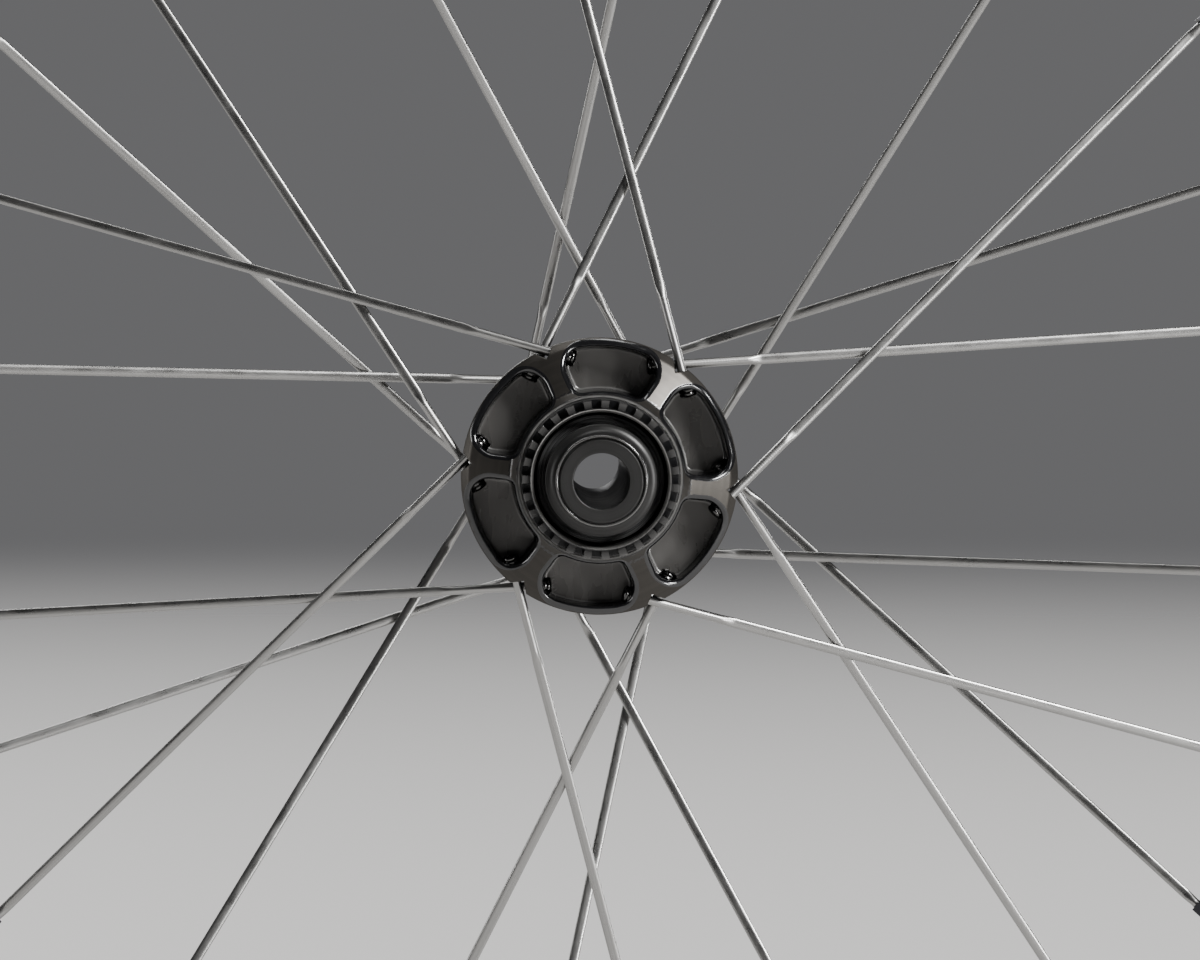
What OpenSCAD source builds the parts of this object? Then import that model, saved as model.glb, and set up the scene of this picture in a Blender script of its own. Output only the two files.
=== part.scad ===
// Straight-pull front disc hub with its bladed spokes and nipples.
// The wheel axis lies along Y, with the disc side at -Y and +Z up.
// The origin is midway between the end faces.

/* [Axle and end caps] */
// Distance between the two end faces, which sit against the fork's dropouts
over_end_faces = 100; // [90:1:130]
// Diameter of the thru-axle that the hub slides onto
thru_axle_d = 12; // [10:0.5:12.5]
// Wall of the hub's own axle tube, whose outside is the bearings' bore
axle_wall = 1.5; // [1.2:0.1:2]
// Width of an end cap's flat face, from its bore to its edge
cap_face_w = 2.9; // [2.4:0.1:3.4]
// Gap between an end cap's flared shield and the lockring's thread, where the dust seal shows
shield_gap = 2.4; // [1.6:0.1:3]

/* [Bearings] */
// Radial depth of a cartridge bearing, from its bore to its outside
bearing_depth = 6.5; // [6:0.1:8]
// Width of a cartridge bearing
bearing_w = 7; // [6:0.5:8.5]
// Diameter of a bearing ball
ball_d = 3.5; // [2.8:0.1:4]
// Balls in one bearing
ball_count = 11; // [8:1:12]

/* [Disc rotor seat] */
// Radial height of the rotor spline's teeth
tooth_h = 1.8; // [1.2:0.1:2.2]
// Teeth on the rotor spline
spline_teeth = 27; // [18:1:30]
// Length of the rotor spline
spline_len = 8.5; // [7:0.5:10]
// Wall between the lockring's thread and the foot of the teeth
spline_wall = 0.35; // [0.3:0.05:0.8]

/* [Flanges and spokes] */
// Diameter of the left flange, on the disc side
left_flange_d = 61; // [58:0.5:74]
// Diameter of the right flange
right_flange_d = 50.6; // [50:0.2:62]
// Distance from the left end face to the middle of the left spoke holes
left_spoke_inset = 27.3; // [26:0.1:32]
// Distance from the right end face to the middle of the right spoke holes
right_spoke_inset = 16; // [15:0.1:20]
// Turn of the left flange's arms about the axle, in degrees
left_arm_turn = -6; // [-30:1:30]
// Turn of the right flange's arms about the axle, in degrees
right_arm_turn = 8; // [-30:1:30]
// Angle between a spoke and its arm, in degrees
spoke_lean = 50.5; // [44:0.5:54]
// Diameter of a spoke's round neck
spoke_neck_d = 2; // [1.6:0.1:2.4]
// Width of a spoke's blade
blade_w = 2.25; // [1.8:0.05:2.7]
// Thickness of a spoke's blade
blade_t = 0.95; // [0.8:0.05:1.15]
// Radius from the axle to the nipples' seats on the rim
rim_seat_r = 178; // [150:1:280]

/* [Hidden] */
$fn = 96;

// Overlap that keeps a cut clear of the face it starts from
cut = 0.5;
// Radial clearance of running and sliding fits
fit = 0.05;
// Small chamfer on turned edges
chamfer = 0.35;
half = over_end_faces / 2;
arms = 6;
arm_step = 360 / arms;

// Axle and end caps: depths are measured inwards from an end face
bore_r = thru_axle_d / 2 + fit;
tube_r = thru_axle_d / 2 + axle_wall;
bearing_inset = 14.5;
tube_end_inset = 5.5;
tube_gap = 0.1;
cap_face_r = bore_r + cap_face_w;
nose_len = 2.6;
flare_depth = 2.4;
shield_back = 8.4;
boss_inset = 10.6;
race_land = 1.1;
o_ring_section = 1;
o_ring_inset = 8;

// Bearings
bearing_r = tube_r + bearing_depth;
ball_r = ball_d / 2;
pitch_r = (tube_r + bearing_r) / 2;
land = 1.15;
inner_land_r = pitch_r - land;
outer_land_r = pitch_r + land;
seal_t = 0.6;
seal_recess = 0.4;
seal_outset = 0.2;
seal_face = bearing_w / 2 - seal_outset - seal_t;
cage_t = 1.5;
cage_gap = 0.1;
cage_ball_gap = 0.15;
boss_r = inner_land_r + 0.3;
dust_seal_t = 1.6;

// Rotor seat: the bearing passes through the lockring's thread, and the teeth stand outside it
thread_clear = 0.5;
thread_depth = 0.5;
thread_r = bearing_r + thread_clear;
shield_r = thread_r - shield_gap;
mouth_r = thread_r + thread_depth + fit;
root_r = mouth_r + spline_wall;
spline_r = root_r + tooth_h;
spline_front_inset = 8;
tooth_setback = 0.6;
seat_inset = spline_front_inset + spline_len;
seat_r = spline_r + 1;

// Flanges
left_r = left_flange_d / 2;
right_r = right_flange_d / 2;
set_gap = spoke_neck_d + 0.6;
head_r = spoke_neck_d / 2 + 1;
head_len = 2.4;
head_seat = 5.2;
hole_r = max(spoke_neck_d, blade_w) / 2 + fit;
notch_half_angle = 45;
notch_depth = 2.2;
rim_wall = 1.8;
floor_t = 2;
floor_drop = 3.8;
flange_back = floor_drop + floor_t;
rim_bevel = 1.6;
left_arm_half = 2.7;
right_arm_half = 2.5;
boss_wall_r = bearing_r + 2.2;
cavity_r = outer_land_r - 1.3;
waist_r = cavity_r + 2;

// Spokes: lengths run outwards from the point where an arm's two spokes cross
neck_len = 15;
swage_len = 3.5;
spoke_thread_r = spoke_neck_d / 2 + 0.1;
thread_len = 10;
rim_offset = 2;
nipple_len = 12;
nipple_flats = 2 * spoke_thread_r + 1.1;
nipple_flats_len = 5;
nipple_body_r = spoke_thread_r + 0.95;
nipple_head_r = nipple_body_r + 0.95;
nipple_head_len = 2.4;
slot_w = 0.9;
slot_depth = 0.8;

// Heights along the axle of what stands a given depth in from the left or right end face
function left_at(inset) = half - inset;
function right_at(inset) = inset - half;
function cross_r(flange_r) = flange_r - 0.1;
// Points of an arc about c from angle a0 to a1
function arc(c, r, a0, a1, n = 8) =
    [for (i = [0:n]) c + r * [cos(a0 + (a1 - a0) * i / n), sin(a0 + (a1 - a0) * i / n)]];

// Turns the local frame, whose Z points out of the disc side, onto the hub's axis
module on_axis() {
    rotate([90, 0, 0])
        children();
}

// Places a piece drawn with Z = 0 on an end face and Z running outwards
module at_left() {
    on_axis()
        translate([0, 0, half])
            children();
}

module at_right() {
    on_axis()
        mirror([0, 0, 1])
            translate([0, 0, half])
                children();
}

// Ring between two radii and two heights
module ring(r_in, r_out, z_low, z_high) {
    translate([0, 0, z_low])
        difference() {
            cylinder(r = r_out, h = z_high - z_low);
            translate([0, 0, -cut])
                cylinder(r = r_in, h = z_high - z_low + 2 * cut);
        }
}

// Places children in the frame of one spoke: the origin where it crosses its partner, X along it to the rim
module along_spoke(flange_r, arm_angle, side, z_cross, z_rim) {
    reach = spoke_reach(flange_r);
    rotate([0, 0, arm_angle])
        translate([cross_r(flange_r), 0, z_cross])
            rotate([0, 0, side * spoke_lean])
                rotate([0, atan2(z_cross - z_rim, reach), 0])
                    children();
}

// Distance from that crossing to the rim seat, in the plane of the wheel, and along the spoke
function spoke_reach(flange_r) =
    sqrt(pow(rim_seat_r, 2) - pow(cross_r(flange_r) * sin(spoke_lean), 2))
        - cross_r(flange_r) * cos(spoke_lean);
function spoke_len(flange_r, z_cross, z_rim) =
    sqrt(pow(spoke_reach(flange_r), 2) + pow(z_cross - z_rim, 2));

// Heights of the four sets of spokes, and of their rim seats
left_mid = left_at(left_spoke_inset);
right_mid = right_at(right_spoke_inset);
left_front_z = left_mid + set_gap / 2;
left_back_z = left_mid - set_gap / 2;
right_front_z = right_mid + set_gap / 2;
right_back_z = right_mid - set_gap / 2;

// Outline of one pocket between two arms, centred on the X axis, with two corner radii
module pocket_outline(r_in, r_out, arm_half, c_in, c_out) {
    // Corner centres in the frame of the arm on one side, and the outer one's angle from that arm
    out_at = [sqrt(pow(r_out - c_out, 2) - pow(arm_half + c_out, 2)), arm_half + c_out];
    in_at = [sqrt(pow(r_in + c_in, 2) - pow(arm_half + c_in, 2)), arm_half + c_in];
    out_angle = atan2(out_at[1], out_at[0]);
    far = 2 * r_out;
    for (side = [-1, 1])
        mirror([0, side < 0 ? 1 : 0])
            rotate(-arm_step / 2) {
                translate(out_at)
                    circle(r = c_out);
                translate(in_at)
                    circle(r = c_in);
                polygon([[in_at[0], arm_half], [out_at[0], arm_half], out_at, in_at]);
                // Half of the middle, out to the bisector between the arms
                intersection() {
                    difference() {
                        circle(r = r_out);
                        circle(r = r_in);
                    }
                    polygon([[0, 0], in_at, out_at, far * [cos(out_angle), sin(out_angle)],
                        far * [cos(arm_step / 2 + 1), sin(arm_step / 2 + 1)]]);
                }
            }
}

// Cuts for one flange: pockets, notches, spoke holes and head seats.
// out is 1 where the flange faces up, else -1.
module flange_cuts(flange_r, turn, arm_half, r_in, c_in, c_out, z_front, z_back, z_mid, z_rim, out) {
    r_out = flange_r - rim_wall;
    reach_up = 20;
    for (k = [0:arms - 1]) {
        arm_angle = turn + k * arm_step;
        rotate(arm_angle + arm_step / 2)
            translate([0, 0, z_mid - (out > 0 ? floor_drop : reach_up)])
                linear_extrude(floor_drop + reach_up)
                    pocket_outline(r_in, r_out, arm_half, c_in, c_out);
        rotate(arm_angle)
            translate([flange_r - notch_depth, 0, z_mid - reach_up])
                linear_extrude(2 * reach_up)
                    polygon([[0, 0], [flange_r * cos(notch_half_angle), flange_r * sin(notch_half_angle)],
                        [flange_r * cos(notch_half_angle), -flange_r * sin(notch_half_angle)]]);
        spoke_hole(flange_r, arm_angle, 1, z_front, z_rim);
        spoke_hole(flange_r, arm_angle, -1, z_back, z_rim);
    }
}

module spoke_hole(flange_r, arm_angle, side, z_cross, z_rim) {
    seat_r_clear = head_r + 0.15;
    seat_len = head_len + 2.5;
    along_spoke(flange_r, arm_angle, side, z_cross, z_rim)
        rotate([0, 90, 0]) {
            translate([0, 0, -head_seat - cut])
                cylinder(r = hole_r, h = head_seat + 2);
            translate([0, 0, -head_seat - seat_len])
                cylinder(r = seat_r_clear, h = seat_len);
        }
}

// One-piece turned and milled shell: rotor spline, two flanges, waisted barrel and bearing seats
module hub_shell() {
    seat_z = left_at(seat_inset);
    left_front = left_mid + 3.2;
    right_front = right_mid - 3.2;
    color([0.05, 0.05, 0.055])
        on_axis()
            difference() {
                union() {
                    rotate_extrude()
                        polygon([
                            [0, left_at(spline_front_inset)],
                            [root_r, left_at(spline_front_inset)],
                            [root_r, seat_z],
                            [seat_r, seat_z],
                            [seat_r + 1.5, seat_z - 1.7],
                            [seat_r + 1.8, seat_z - 1.8],
                            [left_r - rim_bevel, left_front + 1.5],
                            [left_r, left_front],
                            [left_r, left_mid - flange_back + 1.3],
                            [left_r - 1.3, left_mid - flange_back],
                            [boss_wall_r + 2.6, left_mid - flange_back - 0.8],
                            [boss_wall_r, left_mid - flange_back - 3.5],
                            [waist_r, left_mid - flange_back - 11.5],
                            [waist_r, right_mid + flange_back + 12.5],
                            [boss_wall_r, right_mid + flange_back + 3.5],
                            [boss_wall_r + 1.4, right_mid + flange_back + 0.7],
                            [right_r - 1.1, right_mid + flange_back],
                            [right_r, right_mid + flange_back - 1.1],
                            [right_r, right_front],
                            [right_r - 1.2, right_front - 1.2],
                            [boss_wall_r + 1, right_front - 2.8],
                            [boss_wall_r, right_front - 3.4],
                            [boss_wall_r, right_at(spline_front_inset) + 0.6],
                            [boss_wall_r - 0.6, right_at(spline_front_inset)],
                            [0, right_at(spline_front_inset)]
                        ]);
                    translate([0, 0, seat_z - cut])
                        linear_extrude(spline_len - tooth_setback + cut)
                            spline_outline();
                }
                shell_bore();
                flange_cuts(left_r, left_arm_turn, left_arm_half, seat_r + 0.7, 2, 4.2,
                    left_front_z, left_back_z, left_mid, rim_offset, 1);
                flange_cuts(right_r, right_arm_turn, right_arm_half, boss_wall_r + 1, 1.4, 3.4,
                    right_front_z, right_back_z, right_mid, -rim_offset, -1);
            }
}

// Star of square-cut teeth that locates the rotor
module spline_outline() {
    groove_w = PI * spline_r / spline_teeth;
    difference() {
        circle(r = spline_r);
        for (k = [0:spline_teeth - 1])
            rotate(k * 360 / spline_teeth)
                translate([root_r, -groove_w / 2])
                    square([spline_r, groove_w]);
    }
}

// Stepped hole through the shell: lockring thread, dust seal and bearing seats, relief and middle cavity
module shell_bore() {
    seal_at = bearing_inset - dust_seal_t - 0.1;
    seat_end = bearing_inset + bearing_w;
    relief = 0.8;
    mouth = mouth_r - thread_r;
    rotate_extrude()
        polygon([
            [0, left_at(spline_front_inset) + cut],
            [mouth_r + cut, left_at(spline_front_inset) + cut],
            [thread_r, left_at(spline_front_inset) - mouth],
            [thread_r, left_at(seal_at)],
            [bearing_r, left_at(seal_at)],
            [bearing_r, left_at(seat_end)],
            [outer_land_r, left_at(seat_end)],
            [outer_land_r, left_at(seat_end + relief)],
            [cavity_r, left_at(seat_end + relief)],
            [cavity_r, right_at(seat_end + relief)],
            [outer_land_r, right_at(seat_end + relief)],
            [outer_land_r, right_at(seat_end)],
            [bearing_r, right_at(seat_end)],
            [bearing_r, right_at(seal_at)],
            [thread_r, right_at(seal_at)],
            [thread_r, right_at(spline_front_inset) + mouth],
            [mouth_r + cut, right_at(spline_front_inset) - cut],
            [0, right_at(spline_front_inset) - cut]
        ]);
}

// Hub axle: a tube that carries the inner races, thicker between them
module axle() {
    shoulder_r = inner_land_r - 0.7;
    shoulder = left_at(bearing_inset + bearing_w);
    end = left_at(tube_end_inset);
    color([0.08, 0.08, 0.085])
        on_axis() {
            ring(bore_r, tube_r, shoulder - cut, end);
            ring(bore_r, shoulder_r, -shoulder, shoulder);
            ring(bore_r, tube_r, -end, cut - shoulder);
        }
}

// Push-on end cap: flat face, short nose, flared shield and the boss that holds the inner race
module end_cap() {
    flare_r = shield_r - cap_face_r;
    boss_start = -boss_inset;
    race_face = -bearing_inset;
    color([0.09, 0.09, 0.1])
        difference() {
            rotate_extrude()
                polygon(concat(
                    [[0, 0], [cap_face_r - chamfer, 0], [cap_face_r, -chamfer]],
                    [for (p = arc([0, 0], 1, 180, 260))
                        [shield_r + flare_r * p[0], -nose_len + flare_depth * p[1]]],
                    [[shield_r, -nose_len - flare_depth - chamfer], [shield_r, -shield_back],
                        [boss_r - fit, boss_start], [boss_r - fit, race_face + race_land],
                        [inner_land_r - 0.3, race_face + race_land], [inner_land_r - 0.3, race_face],
                        [0, race_face]]
                ));
            cap_bore();
        }
}

module cap_bore() {
    tube_stop = tube_end_inset - tube_gap;
    groove_half = o_ring_section / 2 + 0.1;
    socket_r = tube_r + fit / 2;
    rotate_extrude()
        polygon([
            [0, cut],
            [bore_r + chamfer + cut, cut],
            [bore_r, -chamfer],
            [bore_r, -tube_stop],
            [socket_r, -tube_stop],
            [socket_r, groove_half - o_ring_inset],
            [tube_r + o_ring_section, groove_half - o_ring_inset],
            [tube_r + o_ring_section, -groove_half - o_ring_inset],
            [socket_r, -groove_half - o_ring_inset],
            [socket_r, -bearing_inset - cut],
            [0, -bearing_inset - cut]
        ]);
}

// Rubber ring that grips the axle tube and keeps the cap on
module o_ring() {
    color([0.03, 0.03, 0.03])
        translate([0, 0, -o_ring_inset])
            rotate_extrude()
                translate([tube_r + o_ring_section / 2, 0])
                    circle(d = o_ring_section, $fn = 48);
}

// Rubber ring pressed in before the bearing, with fine ridges on its face and a lip on the cap's boss
module dust_seal() {
    ridge_w = 0.25;
    ridge_step = 0.75;
    ridges = 4;
    color([0.07, 0.07, 0.07])
        translate([0, 0, -bearing_inset]) {
            ring(boss_r, bearing_r, 0.1, dust_seal_t - ridge_w);
            ring(outer_land_r + 0.1, bearing_r, 0, 0.1);
            for (k = [0:ridges - 1])
                ring(bearing_r - 0.25 - k * ridge_step - ridge_w, bearing_r - 0.25 - k * ridge_step,
                    dust_seal_t - 2 * ridge_w, dust_seal_t);
        }
}

// Bearing rings, drawn about the middle of the bearing
module bearing_at() {
    translate([0, 0, -bearing_inset - bearing_w / 2])
        children();
}

module ball_groove() {
    rotate_extrude()
        translate([pitch_r, 0])
            circle(r = ball_r + fit, $fn = 64);
}

module outer_race() {
    recess_r = outer_land_r + seal_recess;
    recess_w = seal_t + seal_outset;
    color([0.75, 0.76, 0.78])
        bearing_at()
            difference() {
                ring(outer_land_r, bearing_r, -bearing_w / 2, bearing_w / 2);
                ball_groove();
                for (side = [-1, 1])
                    translate([0, 0, side * (bearing_w / 2 - (recess_w - cut) / 2)])
                        cylinder(r = recess_r, h = recess_w + cut, center = true);
            }
}

module inner_race() {
    color([0.75, 0.76, 0.78])
        bearing_at()
            difference() {
                ring(tube_r, inner_land_r, -bearing_w / 2, bearing_w / 2);
                ball_groove();
            }
}

module balls() {
    color([0.85, 0.86, 0.88])
        bearing_at()
            for (k = [0:ball_count - 1])
                rotate(k * 360 / ball_count)
                    translate([pitch_r, 0, 0])
                        sphere(r = ball_r);
}

// Crown cage: a base ring between the inner seal and the balls, with posts between them
module ball_cage() {
    base_far = cage_gap - seal_face;
    base_near = -ball_r - cage_ball_gap;
    color([0.12, 0.12, 0.12])
        bearing_at() {
            ring(pitch_r - cage_t / 2, pitch_r + cage_t / 2, base_far, base_near);
            translate([0, 0, base_near])
                linear_extrude(2 * ball_r - 0.1)
                    difference() {
                        circle(r = pitch_r + cage_t / 2);
                        circle(r = pitch_r - cage_t / 2);
                        for (k = [0:ball_count - 1])
                            rotate(k * 360 / ball_count)
                                translate([pitch_r, 0])
                                    circle(r = ball_r + fit, $fn = 48);
                    }
        }
}

// Thin rubber seal held by the outer race.
// side is 1 for the seal that faces outwards and -1 for the inner one.
module bearing_seal(side) {
    middle = side * (seal_face + seal_t / 2);
    color([0.06, 0.07, 0.09])
        bearing_at()
            ring(inner_land_r + fit, outer_land_r + seal_recess, middle - seal_t / 2, middle + seal_t / 2);
}

// One spoke along X: domed head, round neck, flat blade with rounded edges and threaded end
module spoke(length) {
    thread_start = length - thread_len;
    dome_r = head_r + 1.2;
    rotate([0, 90, 0])
        translate([0, 0, -head_seat])
            mirror([0, 0, 1])
                intersection() {
                    cylinder(r = head_r, h = head_len);
                    translate([0, 0, head_len - dome_r])
                        sphere(r = dome_r);
                }
    rotate([0, 90, 0]) {
        translate([0, 0, -head_seat])
            cylinder(d = spoke_neck_d, h = head_seat + neck_len);
        translate([0, 0, neck_len])
            cylinder(r1 = spoke_neck_d / 2, r2 = blade_t / 2, h = swage_len);
        translate([0, 0, thread_start - swage_len])
            cylinder(r1 = blade_t / 2, r2 = spoke_thread_r, h = swage_len);
        translate([0, 0, thread_start])
            cylinder(r = spoke_thread_r, h = thread_len);
    }
    translate([neck_len, 0, 0])
        rotate([90, 0, 90])
            linear_extrude(thread_start - neck_len)
                blade_section();
}

module blade_section() {
    square([blade_w - blade_t, blade_t], center = true);
    for (side = [-1, 1])
        translate([side * (blade_w - blade_t) / 2, 0])
            circle(d = blade_t, $fn = 32);
}

// The six spokes of one set.
// side is 1 where they lean anticlockwise, seen from the disc side, and -1 clockwise.
module spoke_set(flange_r, turn, side, z_cross, z_rim) {
    color([0.45, 0.45, 0.46])
        on_axis()
            for (k = [0:arms - 1])
                along_spoke(flange_r, turn + k * arm_step, side, z_cross, z_rim)
                    spoke(spoke_len(flange_r, z_cross, z_rim));
}

// Nipple along X: wrench flats nearest the hub, round body, and a slotted head inside the rim
module nipple(length) {
    color([0.2, 0.2, 0.21])
        translate([length - nipple_len + nipple_head_len, 0, 0])
            rotate([0, 90, 0])
                difference() {
                    union() {
                        translate([0, 0, nipple_flats_len / 2])
                            cube([nipple_flats, nipple_flats, nipple_flats_len], center = true);
                        translate([0, 0, nipple_flats_len - cut])
                            cylinder(r = nipple_body_r,
                                     h = nipple_len - nipple_flats_len - nipple_head_len + cut);
                        translate([0, 0, nipple_len - nipple_head_len])
                            cylinder(r1 = nipple_body_r, r2 = nipple_head_r, h = nipple_head_len / 2);
                        translate([0, 0, nipple_len - nipple_head_len / 2])
                            cylinder(r = nipple_head_r, h = nipple_head_len / 2);
                    }
                    translate([0, 0, -cut])
                        cylinder(r = spoke_thread_r + fit / 2, h = nipple_len + 2 * cut);
                    translate([0, 0, nipple_len])
                        cube([3 * nipple_head_r, slot_w, 2 * slot_depth], center = true);
                }
}

module nipple_set(flange_r, turn, front_z, back_z, z_rim) {
    on_axis()
        for (k = [0:arms - 1]) {
            along_spoke(flange_r, turn + k * arm_step, 1, front_z, z_rim)
                nipple(spoke_len(flange_r, front_z, z_rim));
            along_spoke(flange_r, turn + k * arm_step, -1, back_z, z_rim)
                nipple(spoke_len(flange_r, back_z, z_rim));
        }
}

hub_shell();
axle();
at_left() end_cap();  // left_end_cap
at_right() end_cap();  // right_end_cap
at_left() o_ring();  // left_cap_o_ring
at_right() o_ring();  // right_cap_o_ring
at_left() dust_seal();  // left_dust_seal
at_right() dust_seal();  // right_dust_seal
at_left() outer_race();  // left_outer_race
at_right() outer_race();  // right_outer_race
at_left() inner_race();  // left_inner_race
at_right() inner_race();  // right_inner_race
at_left() balls();  // left_balls
at_right() balls();  // right_balls
at_left() ball_cage();  // left_ball_cage
at_right() ball_cage();  // right_ball_cage
at_left() bearing_seal(1);  // left_outer_bearing_seal
at_left() bearing_seal(-1);  // left_inner_bearing_seal
at_right() bearing_seal(1);  // right_outer_bearing_seal
at_right() bearing_seal(-1);  // right_inner_bearing_seal
spoke_set(left_r, left_arm_turn, 1, left_front_z, rim_offset);  // left_front_spokes
spoke_set(left_r, left_arm_turn, -1, left_back_z, rim_offset);  // left_back_spokes
spoke_set(right_r, right_arm_turn, 1, right_front_z, -rim_offset);  // right_front_spokes
spoke_set(right_r, right_arm_turn, -1, right_back_z, -rim_offset);  // right_back_spokes
nipple_set(left_r, left_arm_turn, left_front_z, left_back_z, rim_offset);  // left_nipples
nipple_set(right_r, right_arm_turn, right_front_z, right_back_z, -rim_offset);  // right_nipples
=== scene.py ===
"""Visual model of a straight-pull front disc hub and its bladed spokes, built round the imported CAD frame."""

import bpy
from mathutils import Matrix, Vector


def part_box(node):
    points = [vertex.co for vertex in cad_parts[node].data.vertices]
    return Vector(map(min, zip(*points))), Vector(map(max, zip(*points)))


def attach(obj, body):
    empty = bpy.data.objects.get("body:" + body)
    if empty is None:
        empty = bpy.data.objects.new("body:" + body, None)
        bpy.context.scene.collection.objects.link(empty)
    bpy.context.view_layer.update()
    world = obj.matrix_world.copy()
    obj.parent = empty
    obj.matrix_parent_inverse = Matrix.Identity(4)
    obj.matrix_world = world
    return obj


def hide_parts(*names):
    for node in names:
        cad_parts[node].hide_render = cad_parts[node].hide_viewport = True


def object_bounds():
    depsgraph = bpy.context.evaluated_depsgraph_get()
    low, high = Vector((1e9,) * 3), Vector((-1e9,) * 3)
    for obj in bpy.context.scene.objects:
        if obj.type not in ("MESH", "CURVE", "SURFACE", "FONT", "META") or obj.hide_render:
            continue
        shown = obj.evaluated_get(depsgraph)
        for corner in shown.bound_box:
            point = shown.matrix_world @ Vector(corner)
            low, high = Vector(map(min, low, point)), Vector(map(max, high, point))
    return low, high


bl_info = {
    "name": "Front Disc Hub",
    "version": (1, 0, 0),
    "blender": (4, 5, 0),
    "location": "3D View > Sidebar > Hub",
    "description": "Builds the shell, caps, seals and spokes of a front disc hub, with a small studio",
    "category": "Add Mesh",
}

import math

import bmesh
import bpy
import numpy as np
from bpy.props import FloatProperty, FloatVectorProperty, PointerProperty
from mathutils import Vector

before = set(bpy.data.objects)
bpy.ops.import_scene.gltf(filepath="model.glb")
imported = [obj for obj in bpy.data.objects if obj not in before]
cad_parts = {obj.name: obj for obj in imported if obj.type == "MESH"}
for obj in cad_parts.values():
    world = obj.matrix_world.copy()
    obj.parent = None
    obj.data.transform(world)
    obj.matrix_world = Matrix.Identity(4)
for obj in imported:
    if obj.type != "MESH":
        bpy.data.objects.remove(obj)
CAD_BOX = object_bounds()

MM = 0.001
ARMS = 6


def node_box(node):
    """Lowest and highest corner of a CAD node, as arrays."""
    low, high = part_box(node)
    return np.array(low), np.array(high)


def outer_radius(node):
    """Half the width of a round CAD node that stands on the wheel axis."""
    low, high = node_box(node)
    return float(high[0] - low[0]) / 2


END_FACE = float(-node_box("left_end_cap")[0][1])
BEARING_R = outer_radius("left_outer_race")
SHIELD_R = outer_radius("left_end_cap")
LEFT_FLANGE_R = outer_radius("hub_shell")


# ---------------------------------------------------------------- surfaces

def place(points):
    """Turns hub coordinates into the frame's: x stays, y becomes up, and z, out of the disc side, is -Y."""
    return np.stack([points[..., 0], -points[..., 2], points[..., 1]], axis=-1)


def grid_quads(rows, cols, wrap_rows=False, wrap_cols=False):
    """Corner numbers of the quads between neighbours on a grid, which may close on itself either way."""
    r = np.arange(rows if wrap_rows else rows - 1)
    c = np.arange(cols if wrap_cols else cols - 1)
    r0, c0 = np.meshgrid(r, c, indexing="ij")
    r1 = (r0 + 1) % rows
    c1 = (c0 + 1) % cols
    quads = np.stack([r0 * cols + c0, r0 * cols + c1, r1 * cols + c1, r1 * cols + c0], axis=-1)
    return quads.reshape(-1, 4)


class Patches:
    """Collects grids of points, with the marks that materials read, until they become one mesh."""

    def __init__(self, *marks):
        self.points, self.quads, self.count = [], [], 0
        self.marks = {mark: [] for mark in marks}

    def add(self, points, wrap_rows=False, wrap_cols=False, **marks):
        """Adds one grid of points, rows by columns by three. A mark is a number or an array to fit it."""
        rows, cols = points.shape[:2]
        self.points.append(points.reshape(-1, 3))
        self.quads.append(grid_quads(rows, cols, wrap_rows, wrap_cols) + self.count)
        for mark, held in self.marks.items():
            value = np.asarray(marks.get(mark, 0.0), float)
            width = value.shape[-1:] if value.ndim == 3 else ()
            held.append(np.broadcast_to(value, (rows, cols) + width).reshape((-1,) + width))
        self.count += rows * cols


def make_piece(name, patches, material, body, replaced, weld=2e-6, sharp=32.0):
    """Makes one object of the collected grids: welds their seams and turns the faces outwards."""
    points = np.concatenate(patches.points)
    quads = np.concatenate(patches.quads)
    mesh = bpy.data.meshes.new(name)
    mesh.vertices.add(len(points))
    mesh.vertices.foreach_set("co", place(points).astype(np.float32).ravel())
    mesh.loops.add(quads.size)
    mesh.loops.foreach_set("vertex_index", quads.astype(np.int32).ravel())
    mesh.polygons.add(len(quads))
    mesh.polygons.foreach_set("loop_start", np.arange(0, quads.size, 4, dtype=np.int32))
    mesh.update(calc_edges=True)
    for mark, held in patches.marks.items():
        values = np.concatenate(held).astype(np.float32)
        if values.ndim == 2:
            mesh.attributes.new(mark, "FLOAT_VECTOR", "POINT").data.foreach_set("vector", values.ravel())
        else:
            mesh.attributes.new(mark, "FLOAT", "POINT").data.foreach_set("value", values)
    work = bmesh.new()
    work.from_mesh(mesh)
    bmesh.ops.remove_doubles(work, verts=work.verts, dist=weld)
    bmesh.ops.dissolve_degenerate(work, edges=work.edges, dist=weld / 4)
    bmesh.ops.recalc_face_normals(work, faces=work.faces)
    work.to_mesh(mesh)
    work.free()
    mesh.shade_smooth()
    mesh.set_sharp_from_angle(angle=math.radians(sharp))
    mesh.materials.append(material)
    piece = bpy.data.objects.new(name, mesh)
    bpy.context.collection.objects.link(piece)
    weighted = piece.modifiers.new("Flat faces stay flat", "WEIGHTED_NORMAL")
    weighted.keep_sharp = True
    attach(piece, body)
    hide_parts(*replaced)
    return piece


def arc(centre, radius, start, end, steps):
    """Points of an arc about a centre, from one angle to another in degrees."""
    angle = np.radians(np.linspace(start, end, steps + 1))
    return np.stack([centre[0] + radius * np.cos(angle), centre[1] + radius * np.sin(angle)], axis=-1)


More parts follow.
